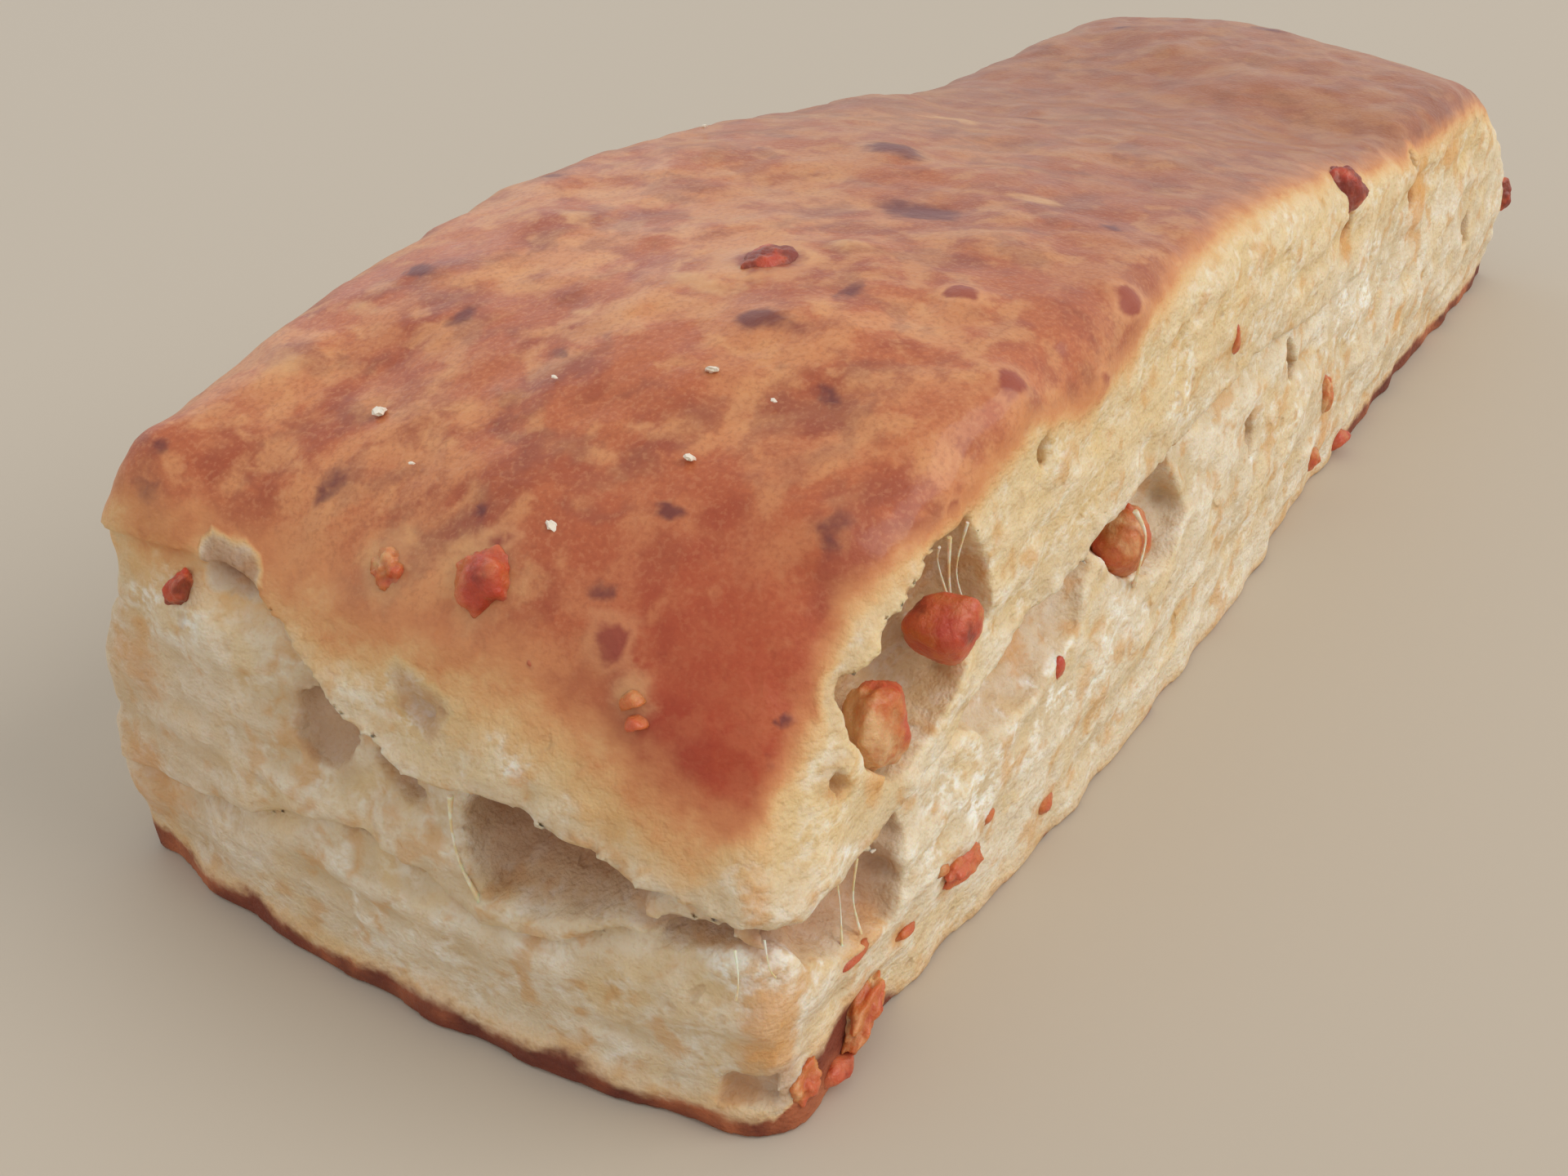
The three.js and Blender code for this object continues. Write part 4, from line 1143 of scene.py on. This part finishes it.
def make_bits():
    points, faces = ball(3)
    shapes, all_faces = [], []
    for number, (at, half_sizes, pale) in enumerate(BITS):
        reach = chunk(points, 100 + number, facets=9, sharpness=7)
        x, y, z = (points * 1.8 + number * 3.3).T
        shape = points * (reach * (1 + 0.14 * noise(x, y, z)))[:, None]
        shapes.append(shape / np.abs(shape).max(axis=0) * half_sizes + np.array(at))
        all_faces.append(faces + number * len(points))
    bits = mesh_object("crackling_bits", np.concatenate(shapes), np.concatenate(all_faces))
    set_value(bits, "pale", np.repeat([pale for at, half_sizes, pale in BITS], len(points)))
    bits.data.materials.append(CRACKLING)
    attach(bits, "root")


def seeded(name, points, edges, value_name, values):
    """Bare points and edges in the loaf's frame, in mm, for a Geometry Nodes tree to grow on."""
    mesh = bpy.data.meshes.new(name)
    shift = Vector((CENTRE[0], CENTRE[1], 0))
    mesh.from_pydata([(Vector(at) + shift) * MM for at in points], edges, [])
    piece = bpy.data.objects.new(name, mesh)
    bpy.context.collection.objects.link(piece)
    set_value(piece, value_name, values)
    return piece


def nodes_tree(name, number):
    """A Geometry Nodes tree with a mesh in, a mesh out and one whole number to set."""
    inputs = {"Geometry": "NodeSocketGeometry", number: "NodeSocketInt"}
    return new_tree(name, "GeometryNodeTree", inputs, {"Geometry": "NodeSocketGeometry"})


def hand_out(tree, shape, material, result):
    """Makes a tree's shape real, gives it its material and hands it out."""
    real = node(tree, "GeometryNodeRealizeInstances", {"Geometry": shape})
    finish = node(tree, "GeometryNodeSetMaterial", {
        "Geometry": real.outputs["Geometry"], "Material": material})
    put(tree, finish.outputs["Geometry"], result["Geometry"])


def grown(piece, tree, values):
    """Runs a Geometry Nodes tree on a piece and keeps the mesh that comes out."""
    grow = piece.modifiers.new(tree.name, "NODES")
    grow.node_group = tree
    for item in tree.interface.items_tree:
        if item.in_out == "INPUT" and item.name in values:
            grow[item.identifier] = values[item.name]
    applied(piece, grow)


CHIP = 0.34 * MM                  # how far a salt grain's corners are shifted, for a size of 1 mm
GRAIN_WIDTH, GRAIN_HEIGHT = 0.8, 0.42     # of its length


def make_salt():
    """A rough grain at each mark, turned at random and sized by the mark's listed size."""
    tree, given, result = nodes_tree("salt_at_points", "Seed")
    grain = node(tree, "GeometryNodeMeshIcoSphere", {"Radius": 1 * MM, "Subdivisions": 2})
    shift = node(tree, "FunctionNodeRandomValue", {
        "Min": (-CHIP,) * 3, "Max": (CHIP,) * 3, "Seed": given["Seed"]}, data_type="FLOAT_VECTOR")
    chipped = node(tree, "GeometryNodeSetPosition", {
        "Geometry": grain.outputs["Mesh"], "Offset": shift.outputs["Value"]})
    turn = node(tree, "FunctionNodeRandomValue", {
        "Max": (0.5, 0.5, 6.28), "Seed": given["Seed"]}, data_type="FLOAT_VECTOR")
    size = node(tree, "GeometryNodeInputNamedAttribute", {"Name": "size"}).outputs["Attribute"]
    flat = node(tree, "ShaderNodeCombineXYZ", {
        "X": size, "Y": maths(tree, "MULTIPLY", size, GRAIN_WIDTH),
        "Z": maths(tree, "MULTIPLY", size, GRAIN_HEIGHT)})
    spread = node(tree, "GeometryNodeInstanceOnPoints", {
        "Points": given["Geometry"], "Instance": chipped.outputs["Geometry"],
        "Rotation": turn.outputs["Value"], "Scale": flat.outputs["Vector"]})
    hand_out(tree, spread.outputs["Instances"], SALT, result)

    places = [at for at, size_mm in SALT_GRAINS]
    sizes = [size_mm for at, size_mm in SALT_GRAINS]
    salt = seeded("salt", places, [], "size", sizes)
    grown(salt, tree, {"Seed": 4})
    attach(salt, "root")


def make_threads():
    """A thin round thread along each path, thickest at its two ends."""
    tree, given, result = nodes_tree("threads_along_edges", "Steps")
    curve = node(tree, "GeometryNodeMeshToCurve", {"Mesh": given["Geometry"]})
    smooth = node(tree, "GeometryNodeCurveSplineType", {"Curve": curve.outputs["Curve"]},
                  spline_type="CATMULL_ROM")
    evened = node(tree, "GeometryNodeResampleCurve", {
        "Curve": smooth.outputs["Curve"], "Count": given["Steps"]})
    thick = node(tree, "GeometryNodeInputNamedAttribute", {"Name": "thickness"}).outputs["Attribute"]
    radius = node(tree, "GeometryNodeSetCurveRadius", {
        "Curve": evened.outputs["Curve"], "Radius": thick})
    section = node(tree, "GeometryNodeCurvePrimitiveCircle", {"Resolution": 6, "Radius": 1 * MM})
    sweep = node(tree, "GeometryNodeCurveToMesh", {
        "Curve": radius.outputs["Curve"], "Profile Curve": section.outputs["Curve"],
        "Scale": thick, "Fill Caps": True})
    hand_out(tree, sweep.outputs["Mesh"], THREAD, result)

    points, edges, sizes = [], [], []
    for thickness, path in THREADS:
        first = len(points)
        points += path
        edges += [(n, n + 1) for n in range(first, len(points) - 1)]
        last = len(path) - 1
        sizes += [thickness * (1.6 if n in (0, last) else 0.7) for n in range(len(path))]
    threads = seeded("dough_threads", points, edges, "thickness", sizes)
    grown(threads, tree, {"Steps": 14})
    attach(threads, "root")


make_bits()
make_salt()
make_threads()

# ---- Floor and light --------------------------------------------------------------------------


def add_floor():
    half = 3000.0                 # mm
    corners = [(-half, -half, 0), (half, -half, 0), (half, half, 0), (-half, half, 0)]
    floor = mesh_object("floor", corners, [(0, 1, 2, 3)])
    floor.data.materials.append(plain_material("pale_floor", colour(199, 186, 167), 0.7))


def add_light(name, at, aim, size, watts, light_colour):
    """A lit rectangle at a place in metres, turned towards another."""
    data = bpy.data.lights.new(name, "AREA")
    data.shape = "RECTANGLE"
    data.size, data.size_y = size
    data.energy = watts
    data.color = light_colour
    light = bpy.data.objects.new(name, data)
    bpy.context.collection.objects.link(light)
    light.location = at
    light.rotation_mode = "QUATERNION"
    light.rotation_quaternion = (Vector(aim) - Vector(at)).to_track_quat("-Z", "Y")


def add_lights():
    """A bright window on the -Y side, a fainter one on the +Y side, and a pale room."""
    world = bpy.data.worlds.new("room")
    world.use_nodes = True
    room = world.node_tree.nodes["Background"].inputs
    room["Color"].default_value = (0.97, 0.98, 1.0, 1)
    room["Strength"].default_value = 0.68
    bpy.context.scene.world = world
    add_light("window", at=(0.6, -1.7, 1.5), aim=(0, 0, 0.02), size=(1.6, 1.4), watts=23,
              light_colour=(1.0, 0.975, 0.94))
    add_light("sky_window", at=(1.0, 2.0, 1.2), aim=(0, 0, 0.03), size=(2.4, 1.4), watts=5.5,
              light_colour=(0.86, 0.94, 1.0))


add_floor()
add_lights()
bpy.context.scene.view_settings.view_transform = "Standard"
